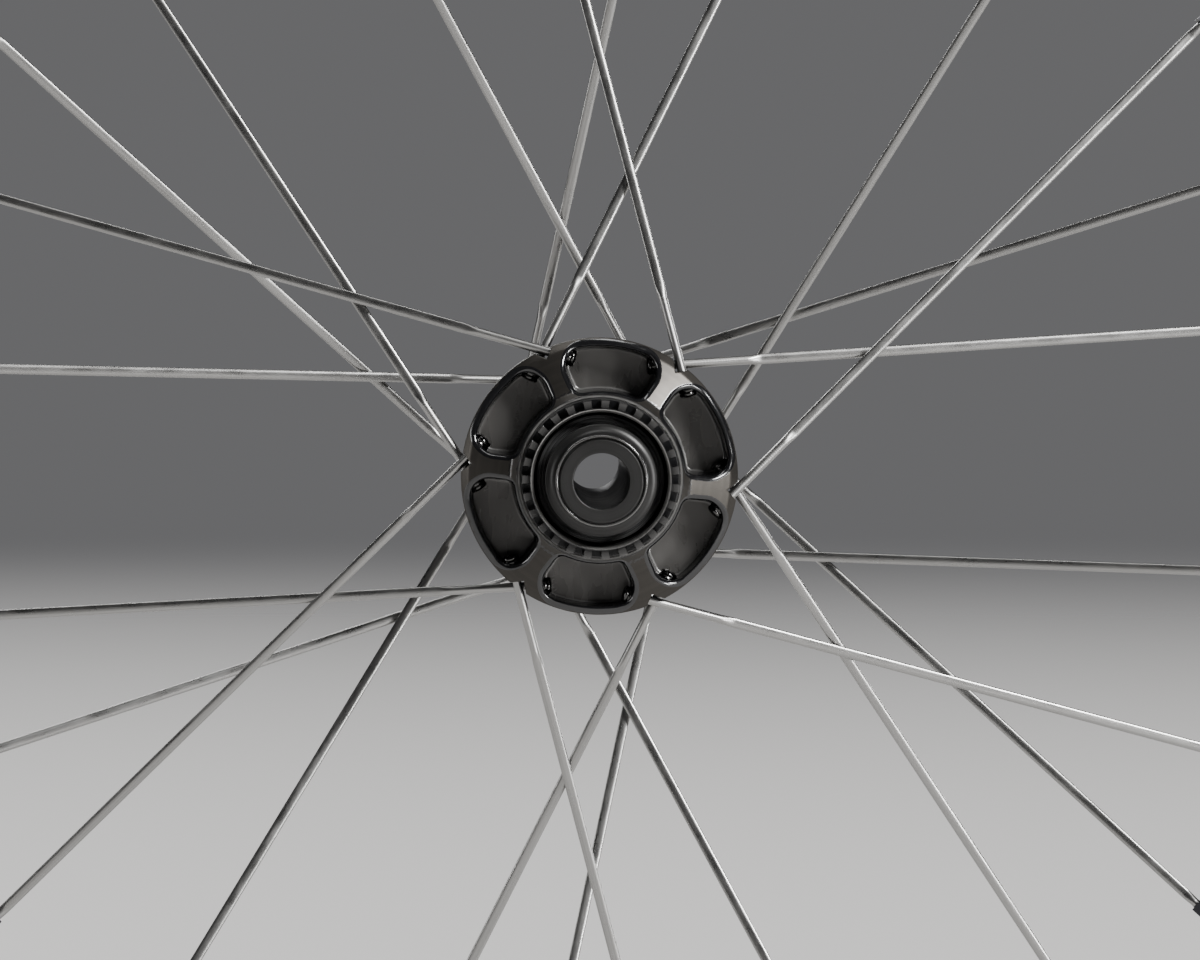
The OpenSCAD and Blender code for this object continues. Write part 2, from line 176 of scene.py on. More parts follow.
def rounded(corners, steps=4):
    """Closed outline through corners (radius, height, fillet), each eased by a curve tangent to its sides.

    Each curve is (1-t)^2 A + 2t(1-t) C + t^2 B, with A and B one fillet length from the corner C.
    """
    corners = np.array(corners, float)
    at = corners[:, :2]
    before = np.roll(at, 1, axis=0) - at
    after = np.roll(at, -1, axis=0) - at
    reach = corners[:, 2:]
    far = 0.49
    a = at + before * np.minimum(reach / np.linalg.norm(before, axis=1, keepdims=True), far)
    b = at + after * np.minimum(reach / np.linalg.norm(after, axis=1, keepdims=True), far)
    t = np.linspace(0, 1, steps + 1)[None, :, None]
    curves = (1 - t) ** 2 * a[:, None] + 2 * t * (1 - t) * at[:, None] + t ** 2 * b[:, None]
    points = curves.reshape(-1, 2)
    fresh = np.linalg.norm(points - np.roll(points, 1, axis=0), axis=1) > 1e-7
    return points[fresh]


def started_at(outline, point):
    """A closed outline that begins at its point nearest to a given one."""
    start = int(np.argmin(np.linalg.norm(outline - point, axis=1)))
    return np.roll(outline, -start, axis=0)


def revolved(profile, segments=160):
    """Carries a profile of (radius, height) once round the axle: x = r cos a, y = r sin a, z = height."""
    angle = np.linspace(0, 2 * math.pi, segments, endpoint=False)
    r, z = profile[:, :1], profile[:, 1:]
    return np.stack([r * np.cos(angle), r * np.sin(angle), np.broadcast_to(z, (len(r), segments))], axis=-1)


def ring_piece(name, outline, material, body, slot, node, **marks):
    """Makes one piece of a closed outline carried round the axle."""
    patches = Patches(*marks)
    patches.add(revolved(outline), wrap_rows=True, wrap_cols=True, **marks)
    return make_piece(name, patches, material, body, [node])


def turn(points, degrees):
    """Turns points about the axle."""
    a = math.radians(degrees)
    x = points[..., 0] * math.cos(a) - points[..., 1] * math.sin(a)
    y = points[..., 0] * math.sin(a) + points[..., 1] * math.cos(a)
    return np.stack([x, y, points[..., 2]], axis=-1)


def flat_polar(radius, angle):
    """Points in the plane of the wheel from radii and angles in radians."""
    return np.stack([radius * np.cos(angle), radius * np.sin(angle)], axis=-1)


# ---------------------------------------------------------------- flanges

class FlangeShape:
    """Sizes of one flange. Heights are counted outwards from the middle of its spoke holes."""

    def __init__(self, radius, mid, side, turned, hub, top, foot,
                 pocket_in, pocket_out, arm_half, corner_in, corner_out):
        self.radius, self.mid, self.side, self.turned, self.hub = radius, mid, side, turned, hub
        self.top, self.foot = np.array(top), np.array(foot)
        self.pocket_in, self.pocket_out, self.arm_half = pocket_in, pocket_out, arm_half
        self.corner_in, self.corner_out = corner_in, corner_out

    def face_height(self, radius):
        """Height of the outer face, in straight stretches between turned steps."""
        return np.interp(radius, self.top[:, 0], self.top[:, 1])

    def back_height(self, radius):
        """Height of the back face, in the same way."""
        return np.interp(radius, self.foot[:, 0], self.foot[:, 1])

    def satin(self, radius):
        """How satin the outer face is: the first slope and the arms are, the step between them isn't."""
        slope_end, step_end = self.top[1, 0], self.top[2, 0]
        change = 0.1 * MM
        places = [self.hub, self.hub + change, slope_end - change, slope_end, step_end, step_end + change]
        return np.interp(radius, places, [0.0, 0.9, 0.9, 0.0, 0.0, 1.0])

    def to_hub(self, flat, height):
        """Hub coordinates of points in the wheel's plane at heights from the flange's middle."""
        height = np.broadcast_to(height, flat.shape[:-1])
        return np.concatenate([flat, (self.mid + self.side * height)[..., None]], axis=-1)


def pocket_outline(shape, across, along):
    """The pocket's outline, in four stretches that start at the middle of a corner, with its inward normals.

    Arcs at the two radii are joined by straight sides parallel to the arms and by round corners. The dense
    outline is then shared out evenly by length along each stretch.
    """
    step = 180 / ARMS

    def corner(radius, lateral):
        """Centre of a corner arc, in the frame of the pocket whose middle lies along X."""
        along_arm = math.sqrt(radius ** 2 - lateral ** 2)
        return np.array([along_arm, lateral])

    inner = corner(shape.pocket_in + shape.corner_in, shape.arm_half + shape.corner_in)
    outer = corner(shape.pocket_out - shape.corner_out, shape.arm_half + shape.corner_out)
    inner_turn = math.degrees(math.atan2(inner[1], inner[0]))
    outer_turn = math.degrees(math.atan2(outer[1], outer[0]))
    dense = 60
    # Drawn beside the arm that lies along X, then turned so that the pocket's middle lies along X
    lower = np.concatenate([
        arc((0, 0), shape.pocket_in, step, inner_turn, dense),
        arc(inner, shape.corner_in, 180 + inner_turn, 270, dense)[1:],
        arc(outer, shape.corner_out, -90, outer_turn, dense)[1:],
        arc((0, 0), shape.pocket_out, outer_turn, step, dense)[1:],
    ])
    a = math.radians(-step)
    lower = np.stack([lower[:, 0] * math.cos(a) - lower[:, 1] * math.sin(a),
                      -lower[:, 0] * math.sin(a) - lower[:, 1] * math.cos(a)], axis=-1)
    upper = lower[::-1] * (1, -1)
    loop = np.concatenate([lower[:-1], upper[:-1]])
    length = np.concatenate([[0], np.cumsum(np.linalg.norm(np.roll(loop, -1, axis=0) - loop, axis=1))])
    closed = np.concatenate([loop, loop[:1]])
    total = length[-1]
    first = length[dense + dense // 2]
    second = length[2 * dense + dense // 2]
    marks = [-first, first, second, total - second, total - first]
    counts = [across, along, across, along]
    stretches = [np.linspace(marks[i], marks[i + 1], counts[i], endpoint=False) for i in range(4)]
    places = np.concatenate(stretches) % total
    points = np.stack([np.interp(places, length, closed[:, i]) for i in range(2)], axis=-1)
    span = total / 900
    ahead = np.stack([np.interp((places + span) % total, length, closed[:, i]) for i in range(2)], axis=-1)
    behind = np.stack([np.interp((places - span) % total, length, closed[:, i]) for i in range(2)], axis=-1)
    tangent = ahead - behind
    tangent /= np.linalg.norm(tangent, axis=1, keepdims=True)
    outward = np.stack([-tangent[:, 1], tangent[:, 0]], axis=-1)
    return points, outward


NOTCH_DEPTH = 2.2 * MM
NOTCH_STEPS = 6
EDGE = 0.14 * MM


def sector_angles(shape, arc_steps):
    """Angles across one sector, closer together where the two half notches are, and the rim's radius at each.

    In a half notch the radius follows the straight cut r = v sin 45 / sin(45 - a), v being the notch's foot.
    """
    step = math.pi / ARMS
    foot = shape.radius - NOTCH_DEPTH
    notch = math.pi / 4 - math.asin(foot * math.sin(math.pi / 4) / shape.radius)
    near = np.linspace(0, notch, NOTCH_STEPS + 1)
    near_r = foot * math.sin(math.pi / 4) / np.sin(math.pi / 4 - near)
    middle = np.linspace(notch, 2 * step - notch, arc_steps + 1)[1:-1]
    offset = np.concatenate([near, middle, 2 * step - near[::-1]])
    radius = np.concatenate([near_r, np.full(len(middle), shape.radius), near_r[::-1]])
    return offset - step, radius


def sector_rim(shape, arc_steps, along, inset=0.0):
    """The sector's edge, in the same four stretches as the pocket's outline."""
    angle, rim = sector_angles(shape, arc_steps)
    rim = rim - inset
    step = math.pi / ARMS
    foot = rim[0]
    side = np.linspace(shape.hub, foot, along + 1)[:-1]
    return np.concatenate([
        flat_polar(shape.hub, angle[:-1]),
        flat_polar(side, step),
        flat_polar(rim[::-1][:-1], angle[::-1][:-1]),
        flat_polar(np.linspace(foot, shape.hub, along + 1)[:-1], -step),
    ])


def flange_face(shape, patches, arc_steps=44, along=26):
    """The outer face, sector by sector: over the rounded lip, down the pocket's wall, across its floor."""
    across = arc_steps + 2 * NOTCH_STEPS
    outline, outward = pocket_outline(shape, across, along)
    rim = sector_rim(shape, arc_steps, along, EDGE)
    radius = np.linalg.norm(outline, axis=1)
    span = [shape.pocket_in, shape.pocket_in + 2 * MM, shape.pocket_out - 2.5 * MM, shape.pocket_out]
    lip = np.interp(radius, span, [0.6 * MM, 1.15 * MM, 1.2 * MM, 1.6 * MM])[:, None]
    floor, floor_dish = -3.8 * MM, 0.07 * MM
    draft, fillet = 0.3 * MM, 0.62 * MM
    floor_colour_from, fillet_gleam = 1.2, 0.45

    rows = []
    lip_edge = outline + outward * lip
    for share in (0, 0.08, 0.25, 0.42, 0.58, 0.74, 0.9, 0.985):
        flat = rim * (1 - share) + lip_edge * share
        radius = np.linalg.norm(flat, axis=1)
        rows.append((flat, shape.face_height(radius), shape.satin(radius), 0.0))
    for a in np.radians(np.linspace(90, 0, 8)):
        flat = outline + outward * lip * (1 - math.cos(a))
        height = shape.face_height(np.linalg.norm(flat, axis=1)) - lip[:, 0] * (1 - math.sin(a))
        rows.append((flat, height, 0.0, 0.0))
    wall_top = rows[-1][1]
    for share in (0.06, 0.35, 0.65, 0.94, 1.0):
        height = wall_top + (floor + fillet - wall_top) * share
        rows.append((outline - outward * draft * share, height, 0.0, 0.0))
    fillet_starts = len(rows)
    for a in np.radians(np.linspace(0, 90, 7))[1:]:
        inward = draft + fillet * (1 - math.cos(a))
        height = floor + fillet * (1 - math.sin(a))
        rows.append((outline - outward * inward, height, 0.0, float(a > floor_colour_from)))
    floor_edge = rows[-1][0]
    middle = (shape.pocket_in + shape.pocket_out) / 2
    half_span = math.radians(10)
    sweep = np.linspace(-half_span, half_span, across + 1)[:-1]
    spine_angles = [sweep, np.full(along, half_span), -sweep, np.full(along, -half_span)]
    spine = flat_polar(middle, np.concatenate(spine_angles))
    for share in (0.06, 0.2, 0.4, 0.6, 0.8, 1.0):
        flat = floor_edge * (1 - share) + spine * share
        rows.append((flat, floor - floor_dish * share * (2 - share), 0.0, 1.0))
    flat = np.stack([row[0] for row in rows])
    spread = [np.stack([np.broadcast_to(row[i], len(outline)) for row in rows]) for i in (1, 2, 3)]
    height, turned, floored = spread
    # Painted highlight: a band of the floor's fillet is lightened in colour, and polished, so that it reads as
    # a thin bright line
    polished = np.zeros((len(rows), 1))
    polished[fillet_starts + 1:fillet_starts + 4] = fillet_gleam
    for k in range(ARMS):
        points = turn(shape.to_hub(flat, height), shape.turned + (k + 0.5) * 360 / ARMS)
        patches.add(points, wrap_cols=True, turned=turned, floored=floored, polished=polished)


def flange_edges(shape, patches, hole_height, arc_steps=44, rows=10):
    """The rim band between its bevels, the back face, and the seat and bore that close the flange."""
    angle, rim = sector_angles(shape, arc_steps)
    middle = slice(NOTCH_STEPS, len(angle) - NOTCH_STEPS)
    share = np.linspace(0, 1, rows + 1)[:, None]

    def band(radius, angles):
        top = shape.face_height(radius - EDGE)
        low_top = top - EDGE
        bottom = shape.back_height(radius)
        flat = np.broadcast_to(flat_polar(radius, angles), (rows + 2, len(angles), 2)).copy()
        flat[0] = flat_polar(radius - EDGE, angles)
        height = np.concatenate([top[None], low_top + (bottom - low_top) * share])
        return flat, height

    flat, height = band(rim[middle], angle[middle])
    back_ring = np.minimum(rim, shape.foot[-2, 0])
    back_rows = [rim, back_ring] + [back_ring + (shape.hub - back_ring) * t for t in (0.1, 0.4, 0.7, 1.0)]
    back_rows.append(np.full_like(rim, BORE_R))
    back = np.stack([flat_polar(r, angle) for r in back_rows])
    back_height = np.stack([shape.back_height(r) for r in back_rows])
    # The seat face, with a shallow relief inside it that leaves a fine rounded edge
    seat = [(0, 0), (-0.14, 0), (-0.5, 0), (-0.6, -0.02), (-0.68, -0.08), (-0.72, -0.2),
            (-0.8, -0.26), (-1.1, -0.26)]
    seat = np.array(seat) * MM + (shape.hub, shape.face_height(shape.hub))
    seat = np.concatenate([seat, [(BORE_R, seat[-1, 1])]])
    front = np.stack([flat_polar(np.full_like(rim, r), angle) for r in seat[:, 0]])
    front_height = np.broadcast_to(seat[:, 1:], front.shape[:2])
    # Painted highlight: the relief's rounded edge is lightened in colour, and polished, as a thin bright ring
    bright_edge = np.array([0, 0.2, 0.9, 1, 1, 0.9, 0.2, 0, 0])[:, None]
    bore = np.stack([front[-1], back[-1]])
    bore_height = np.stack([front_height[-1], back_height[-1]])
    for k in range(ARMS):
        degrees = shape.turned + (k + 0.5) * 360 / ARMS
        bands = ((flat, height, 0.9), (back, back_height, 0.7), (bore, bore_height, 0.0))
        for flats, heights, mark in bands:
            patches.add(turn(shape.to_hub(flats, heights), degrees), turned=mark)
        patches.add(turn(shape.to_hub(front, front_height), degrees), polished=bright_edge)
        for side in (-1, 1):
            notch_wall(shape, patches, degrees, side, hole_height, angle, rim, rows)


HOLE_R = 1.175 * MM
HOLE_DEPTH = 2.2 * MM
HOLE_FROM_FOOT = 1.63 * MM
HOLE_GAP = 1.3 * MM
SPOKE_LEAN = math.radians(50.5)
BORE_R = 14.9 * MM


def notch_wall(shape, patches, degrees, side, hole_height, angle, rim, rows):
    """One wall of a notch with its spoke hole: rings of points from the wall's edges to the hole and down.

    side is 1 for the wall at the sector's upper end and -1 for the one at its lower end.
    """
    steps = slice(0, NOTCH_STEPS + 1)
    radius, a = rim[steps], angle[steps]
    top = shape.face_height(radius - EDGE)
    low_top = top - EDGE
    bottom = shape.back_height(radius)
    lip = np.stack([flat_polar(radius - EDGE, a), flat_polar(radius, a)])
    lip_height = np.stack([top, low_top])
    share = np.linspace(0, 1, rows + 1)
    along = np.linalg.norm(flat_polar(radius, a) - flat_polar(radius[0], a[0]), axis=-1)
    # The wall's edge, as (distance from the notch's foot, height), once round
    foot_heights = (low_top[0] + (bottom[0] - low_top[0]) * share)[1:][::-1]
    foot_side = np.stack([np.zeros(rows), foot_heights], axis=-1)
    upper = np.stack([along, low_top], axis=-1)
    rim_heights = (low_top[-1] + (bottom[-1] - low_top[-1]) * share)[1:]
    rim_side = np.stack([np.full(rows, along[-1]), rim_heights], axis=-1)
    lower = np.stack([along, bottom], axis=-1)[::-1][1:-1]
    edge = np.concatenate([foot_side, upper, rim_side, lower])
    leaves_disc_side = side * shape.side < 0
    centre = np.array([HOLE_FROM_FOOT, hole_height if leaves_disc_side else -hole_height])
    away = edge - centre
    bearing = np.arctan2(away[:, 1], away[:, 0])
    circle = np.stack([np.cos(bearing), np.sin(bearing)], axis=-1)
    ease = HOLE_R + 0.12 * MM
    rings = [centre + circle * ease + (away - circle * ease) * t for t in (1.0, 0.6, 0.3, 0.1, 0.0)]
    rings.append(centre + circle * HOLE_R)
    depth = [0, 0, 0, 0, 0, 0.1 * MM]
    rings += [rings[-1], rings[-1], centre + circle * 0]
    depth += [HOLE_DEPTH / 2, HOLE_DEPTH, HOLE_DEPTH]
    flat_wall = np.stack(rings)
    depth = np.array(depth)[:, None]
    start = flat_polar(radius[0], a[0])
    end = flat_polar(radius[-1], a[-1])
    run = (end - start) / np.linalg.norm(end - start)
    into = np.array([-run[1], run[0]])
    into = into if np.dot(into, flat_polar(shape.radius / 2, 0.0) - start) > 0 else -into
    flat = start + flat_wall[..., :1] * run + depth[..., None] * into
    height = flat_wall[..., 1]
    mirror = np.array([1, -side])
    patches.add(turn(shape.to_hub(lip * mirror, lip_height), degrees), turned=1.0)
    patches.add(turn(shape.to_hub(flat * mirror, height), degrees), wrap_cols=True, turned=0.6)


def flange_piece(name, shape, material):
    """One whole flange, with its pockets and spoke holes."""
    patches = Patches("turned", "floored", "polished")
    flange_face(shape, patches)
    flange_edges(shape, patches, HOLE_GAP)
    return make_piece(name, patches, material, "wheel", ["hub_shell"])


# ---------------------------------------------------------------- shell

def barrel_piece(material):
    """The waisted barrel: a skirt under each flange sweeps down to a slim straight middle."""
    outer = [
        (22.5, 16.32, 0.0), (18.9, 16.05, 1.2), (16.4, 13.6, 2.4), (12.6, 5.6, 4.0), (12.6, -15.8, 4.0),
        (16.4, -24.6, 2.4), (17.7, -27.5, 0.8), (21.0, -27.88, 0.0),
    ]
    inner = [(21.0, -28.6, 0), (15.2, -29.0, 0), (11.0, -25.0, 1.0), (10.6, -23.0, 0.5), (10.6, 23.0, 0.5),
             (11.0, 25.0, 1.0), (15.2, 20.0, 0), (22.5, 17.4, 0)]
    return ring_piece("shell_barrel", rounded(outer + inner, steps=10) * MM, material,
                      "wheel", "anodised_shell", "hub_shell", turned=0.55, floored=0.0)


def right_boss_piece(material):
    """The plain boss outside the right flange, which holds the right bearing."""
    corners = [(14.5, -41.5, 0.0), (15.05, -42.0, 0.08), (15.7, -42.0, 0.15), (16.2, -41.4, 0.3),
               (16.2, -36.6, 0.5), (15.2, -35.5, 0.2), (14.5, -35.0, 0.1), (14.5, -39.0, 0.0)]
    return ring_piece("shell_right_boss", rounded(corners) * MM, material,
                      "wheel", "anodised_shell", "hub_shell", turned=0.8, floored=0.0)


def rotor_seat_piece(material, teeth=27):
    """The spline tube: square-cut teeth outside, and a helical thread inside for the rotor's lockring.

    Round the tube the outer radius steps between the teeth's foot and tip. The thread's radius is a triangle
    wave of height over pitch plus turn.
    """
    root, tip = 15.4 * MM, 17.2 * MM
    pitch = 2 * math.pi / teeth
    groove_half = tip * pitch / 4
    foot_angle = math.asin(groove_half / root)
    tip_angle = math.asin(groove_half / tip)
    ease = 0.14 * MM
    floor_angles = np.linspace(-foot_angle, foot_angle, 7)
    floor_radii = root / np.cos(floor_angles)
    walls = np.array([math.asin(groove_half / (tip - ease)), tip_angle + ease / tip])
    top = np.linspace(walls[1], pitch - walls[1], 7)
    one = np.concatenate([floor_angles, walls[:1], top, pitch - walls[:1]])
    one_r = np.concatenate([floor_radii, [tip - ease], np.full(7, tip), [tip - ease]])
    angle = (np.arange(teeth)[:, None] * pitch + one[None, :]).ravel()
    outline = np.tile(one_r, teeth)
    ring = np.ones_like(angle)
    front, tooth_front = 42.0 * MM, 41.4 * MM
    rows = [(14.4 * MM * ring, 33.1 * MM), (outline, 33.1 * MM), (outline, 33.3 * MM), (outline, 36 * MM),
            (outline, tooth_front - 0.2 * MM),
            (np.maximum(outline - 0.16 * MM, root + 0.02 * MM), tooth_front), (root * ring, tooth_front),
            (root * ring, front - 0.12 * MM), (root * ring - 0.1 * MM, front), (15.2 * MM * ring, front),
            (15.05 * MM * ring, front - 0.04 * MM), (14.7 * MM * ring, front - 0.26 * MM),
            (14.6 * MM * ring, front - 0.38 * MM)]
    eased_row, mouth_rows = 5, slice(9, 13)
    thread_pitch, thread_depth = 1.0 * MM, 0.45 * MM
    heights = np.arange(front - 0.5 * MM, 37.0 * MM, -0.1 * MM)
    phase = heights[:, None] / thread_pitch + angle[None, :] / (2 * math.pi)
    wave = np.abs(2 * (phase - np.floor(phase)) - 1)
    run_in = np.clip((heights - 37.2 * MM) / (0.6 * MM), 0, 1)[:, None]
    thread = 14.52 * MM + thread_depth * wave * run_in
    rows += [(thread[i], heights[i]) for i in range(len(heights))]
    rows.append((14.5 * MM * ring, 36.6 * MM))
    radius = np.stack([row[0] for row in rows])
    height = np.stack([np.full_like(angle, row[1]) for row in rows])
    # The teeth's front edges are eased too, by drawing both flanks in towards the tooth's middle
    drawn_in = np.tile(np.concatenate([np.zeros(7), [1], np.linspace(1, -1, 7), [-1]]), teeth) * ease / tip
    angles = np.broadcast_to(angle, radius.shape).copy()
    angles[eased_row] += drawn_in
    points = np.stack([radius * np.cos(angles), radius * np.sin(angles), height], axis=-1)
    # Painted highlight: the mouth's chamfer is lightened in colour as a bright ring all round, and the teeth's
    # eased front edges a little, as glints; both are polished too
    polished = np.zeros((len(rows), 1))
    polished[eased_row] = 0.12
    polished[mouth_rows] = 1.0
    patches = Patches("turned", "polished")
    patches.add(points, wrap_rows=True, wrap_cols=True, turned=0.12, polished=polished)
    return make_piece("shell_rotor_seat", patches, material, "wheel", ["hub_shell"])


# ---------------------------------------------------------------- caps and seals

def side_name(side):
    """The name of the hub's side that lies 1 or -1 along the axle."""
    return "left" if side > 0 else "right"


def end_cap_piece(side, material):
    """A push-on end cap: flat face, groove and bead, a flare out to the shield, and the boss behind."""
    bore, face_r, bead_r, nose, flare_depth = 6.06, 8.95, 9.95, 2.6, 2.4
    shield = SHIELD_R / MM
    bend = np.radians(np.linspace(180, 262, 22))
    flare = np.stack([shield + (shield - bead_r) * np.cos(bend), -nose + flare_depth * np.sin(bend)], axis=-1)
    lip = np.array([[shield - 0.12, flare[-1, 1] - 0.02], [shield, flare[-1, 1] - 0.14]])
    face = rounded([(bore, -6.0, 0), (bore, 0.0, 0.3), (face_r, 0.0, 0.22), (face_r, -1.2, 0)], steps=5)
    face = started_at(face, (bore, -6.0))
    groove = np.array([[face_r, -1.1], [face_r + 0.06, -1.24], [face_r + 0.3, -1.26], [face_r + 0.38, -1.15]])
    crown, crown_r = np.radians(np.linspace(165, 0, 9)), 0.3
    bead = np.array([bead_r - crown_r, -0.9]) + crown_r * np.stack([np.cos(crown), np.sin(crown)], axis=-1)
    back = rounded([(shield, -7.0, 0), (shield, -8.4, 0.25), (9.85, -10.6, 0.2), (9.85, -13.4, 0.1),
                    (9.3, -13.4, 0.1), (9.3, -14.5, 0.1), (7.56, -14.5, 0.1), (7.56, -5.6, 0.1),
                    (bore, -5.4, 0)], steps=3)
    back = started_at(back, (shield, -7.0))
    face = face[face[:, 1] > -0.6]
    outline = np.concatenate([face, groove, bead, flare, lip, back]) * MM
    outline[:, 1] = side * (END_FACE + outline[:, 1])
    # Painted highlight: the bead is lightened in colour, and polished, as the bright arc between face and
    # flare
    polished = np.zeros((len(outline), 1))
    polished[len(face) + len(groove):len(face) + len(groove) + len(bead)] = 1.0
    return ring_piece(side_name(side) + "_turned_cap", outline, material,
                      "axle_group", "satin_cap", side_name(side) + "_end_cap", polished=polished)


def dust_seal_piece(side, material):
    """A rubber ring with four round ridges on its face and a thin lip that wipes the cap's boss."""
    inner, outer = 9.9, BEARING_R / MM
    base, depth = -12.98, 14.5
    radii = np.linspace(outer - 0.12, outer - 3.3, 60)
    ridge = 0.14 * np.clip(np.sin((outer - 0.05 - radii) / 0.75 * 2 * math.pi), -0.4, 1)
    face = np.stack([radii, base - 0.06 + ridge], axis=-1)
    lip = np.array([[10.5, base - 0.12], [10.2, base - 0.02], [10.0, base + 0.05],
                    [inner + 0.02, base + 0.02], [inner, base - 0.2], [inner, -depth + 0.3],
                    [inner + 0.1, -depth + 0.12]])
    rear = np.array([[outer - 0.1, -depth + 0.02], [outer, -depth + 0.15], [outer, base - 0.2]])
    outline = np.concatenate([face, lip, rear]) * MM
    outline[:, 1] = side * (END_FACE + outline[:, 1])
    return ring_piece(side_name(side) + "_ridged_seal", outline, material,
                      "wheel", "seal_rubber", side_name(side) + "_dust_seal")


# ---------------------------------------------------------------- spokes

# Each spoke's place in its set's marks starts this much further along, so that no two carry the same pattern
SPOKE_SPACING = 0.4


class SpokeShape:
    """Sizes of a bladed spoke. Lengths run outwards from where an arm's two spokes cross."""

    head_seat, head_len, head_r = 5.2 * MM, 2.4 * MM, 2.0 * MM
    neck_r, neck_len, swage = 1.0 * MM, 15 * MM, 3.5 * MM
    blade_w, blade_t = 2.25 * MM, 0.95 * MM
    thread_r, thread_len = 1.1 * MM, 10 * MM


def spoke_surface(length, seed, columns=28):
    """One spoke along X as a skin carried along it.

    Each section is |y/a|^n + |z/b|^n = 1. The half width a, half thickness b and power n follow the
    length: a beaded head, a round neck with faint rings pressed in by the forging, a smooth swage to the
    flat blade, and a rolled thread.
    """
    s = SpokeShape
    start = -s.head_seat - s.head_len
    # The head: a small dome in a ring groove, a round shoulder, and two beads on its side
    head = np.array([(0, 0), (0.03, 0.35), (0.12, 0.68), (0.3, 0.92), (0.42, 1.06), (0.36, 1.2), (0.24, 1.36),
                     (0.22, 1.52), (0.34, 1.72), (0.56, 1.88), (0.82, 1.9), (1.02, 1.82), (1.14, 1.76),
                     (1.26, 1.82), (1.46, 1.98), (1.7, 2.0), (1.94, 1.98), (2.12, 1.88), (2.24, 1.84),
                     (2.4, 1.88)]) * MM
    x = [start + head[:, 0]]
    half = [np.maximum(head[:, 1], 1e-6)]
    neck_x = np.linspace(-s.head_seat + 0.02 * MM, s.neck_len, 150)
    press = np.clip((neck_x - 1 * MM) / (2 * MM), 0, 1) * np.clip((s.neck_len - neck_x) / (2 * MM), 0, 1)
    uneven = seed + 2 * np.sin(neck_x / (1.9 * MM) + seed)
    wobble = (np.sin(neck_x / (0.62 * MM) * 2 * math.pi + uneven)
              + 0.6 * np.sin(neck_x / (0.23 * MM) * 6.1 + 3 * seed))
    neck_r = s.neck_r - 0.014 * MM * press * (1 + wobble * 0.4)
    end = length - s.thread_len
    swage_x = np.linspace(s.neck_len, s.neck_len + s.swage, 13)[1:]
    blade_x = np.linspace(s.neck_len + s.swage, end - s.swage, 40)[1:-1]
    second_x = np.linspace(end - s.swage, end, 11)
    thread_x = np.arange(end + 0.1 * MM, length, 0.14 * MM)
    thread_r = s.thread_r - 0.1 * MM * np.abs(2 * np.mod(thread_x / (0.45 * MM), 1) - 1)
    x = np.concatenate(x + [neck_x, swage_x, blade_x, second_x, thread_x, [length, length]])
    flat = np.concatenate([np.zeros(len(head) + len(neck_x)), np.linspace(0, 1, 13)[1:],
                           np.ones(len(blade_x)), np.linspace(1, 0, 11), np.zeros(len(thread_x) + 2)])
    round_r = np.concatenate(half + [neck_r, np.full(12 + len(blade_x), s.neck_r), np.full(11, s.neck_r),
                                     thread_r, [s.thread_r - 0.15 * MM, 1e-6]])
    blend = flat * flat * (3 - 2 * flat)
    half_w = round_r * (1 - blend) + s.blade_w / 2 * blend
    half_t = round_r * (1 - blend) + s.blade_t / 2 * blend
    power = 2 + 0.4 * blend
    angle = np.linspace(0, 2 * math.pi, columns, endpoint=False)
    c, sn = np.cos(angle), np.sin(angle)
    y = half_w[:, None] * np.sign(c) * np.abs(c) ** (2 / power[:, None])
    z = half_t[:, None] * np.sign(sn) * np.abs(sn) ** (2 / power[:, None])
    return np.stack([np.broadcast_to(x[:, None], y.shape), y, z], axis=-1)


def along_spoke(points, cross_r, arm, side, z_cross, z_rim, reach):
    """Carries points drawn along X to a spoke's place: tilted to the rim, leaned off its arm, moved out."""
    tilt = math.atan2(z_cross - z_rim, reach)
    x = points[..., 0] * math.cos(tilt) + points[..., 2] * math.sin(tilt)
    z = -points[..., 0] * math.sin(tilt) + points[..., 2] * math.cos(tilt)
    leaned = turn(np.stack([x, points[..., 1], z], axis=-1), side * math.degrees(SPOKE_LEAN))
    return turn(leaned + np.array([cross_r, 0, z_cross]), arm)


def spoke_set_piece(name, flange_r, turned, side, z_cross, z_rim, rim_r, material):
    """The six spokes that leave one face of a flange's arms."""
    cross_r = flange_r - 0.1 * MM
    lean_in = cross_r * math.sin(SPOKE_LEAN)
    reach = math.sqrt(rim_r ** 2 - lean_in ** 2) - cross_r * math.cos(SPOKE_LEAN)
    length = math.hypot(reach, z_cross - z_rim)
    patches = Patches("spoke_place")
    for k in range(ARMS):
        skin = spoke_surface(length, seed=k * 1.7 + side)
        local = skin + np.array([SPOKE_SPACING * k, 0, 0])
        arm = turned + k * 360 / ARMS
        placed = along_spoke(skin, cross_r, arm, side, z_cross, z_rim, reach)
        patches.add(placed, wrap_cols=True, spoke_place=local)
    return make_piece(name, patches, material, "wheel", [name.replace("bladed_", "")])


# ---------------------------------------------------------------- shader groups and materials

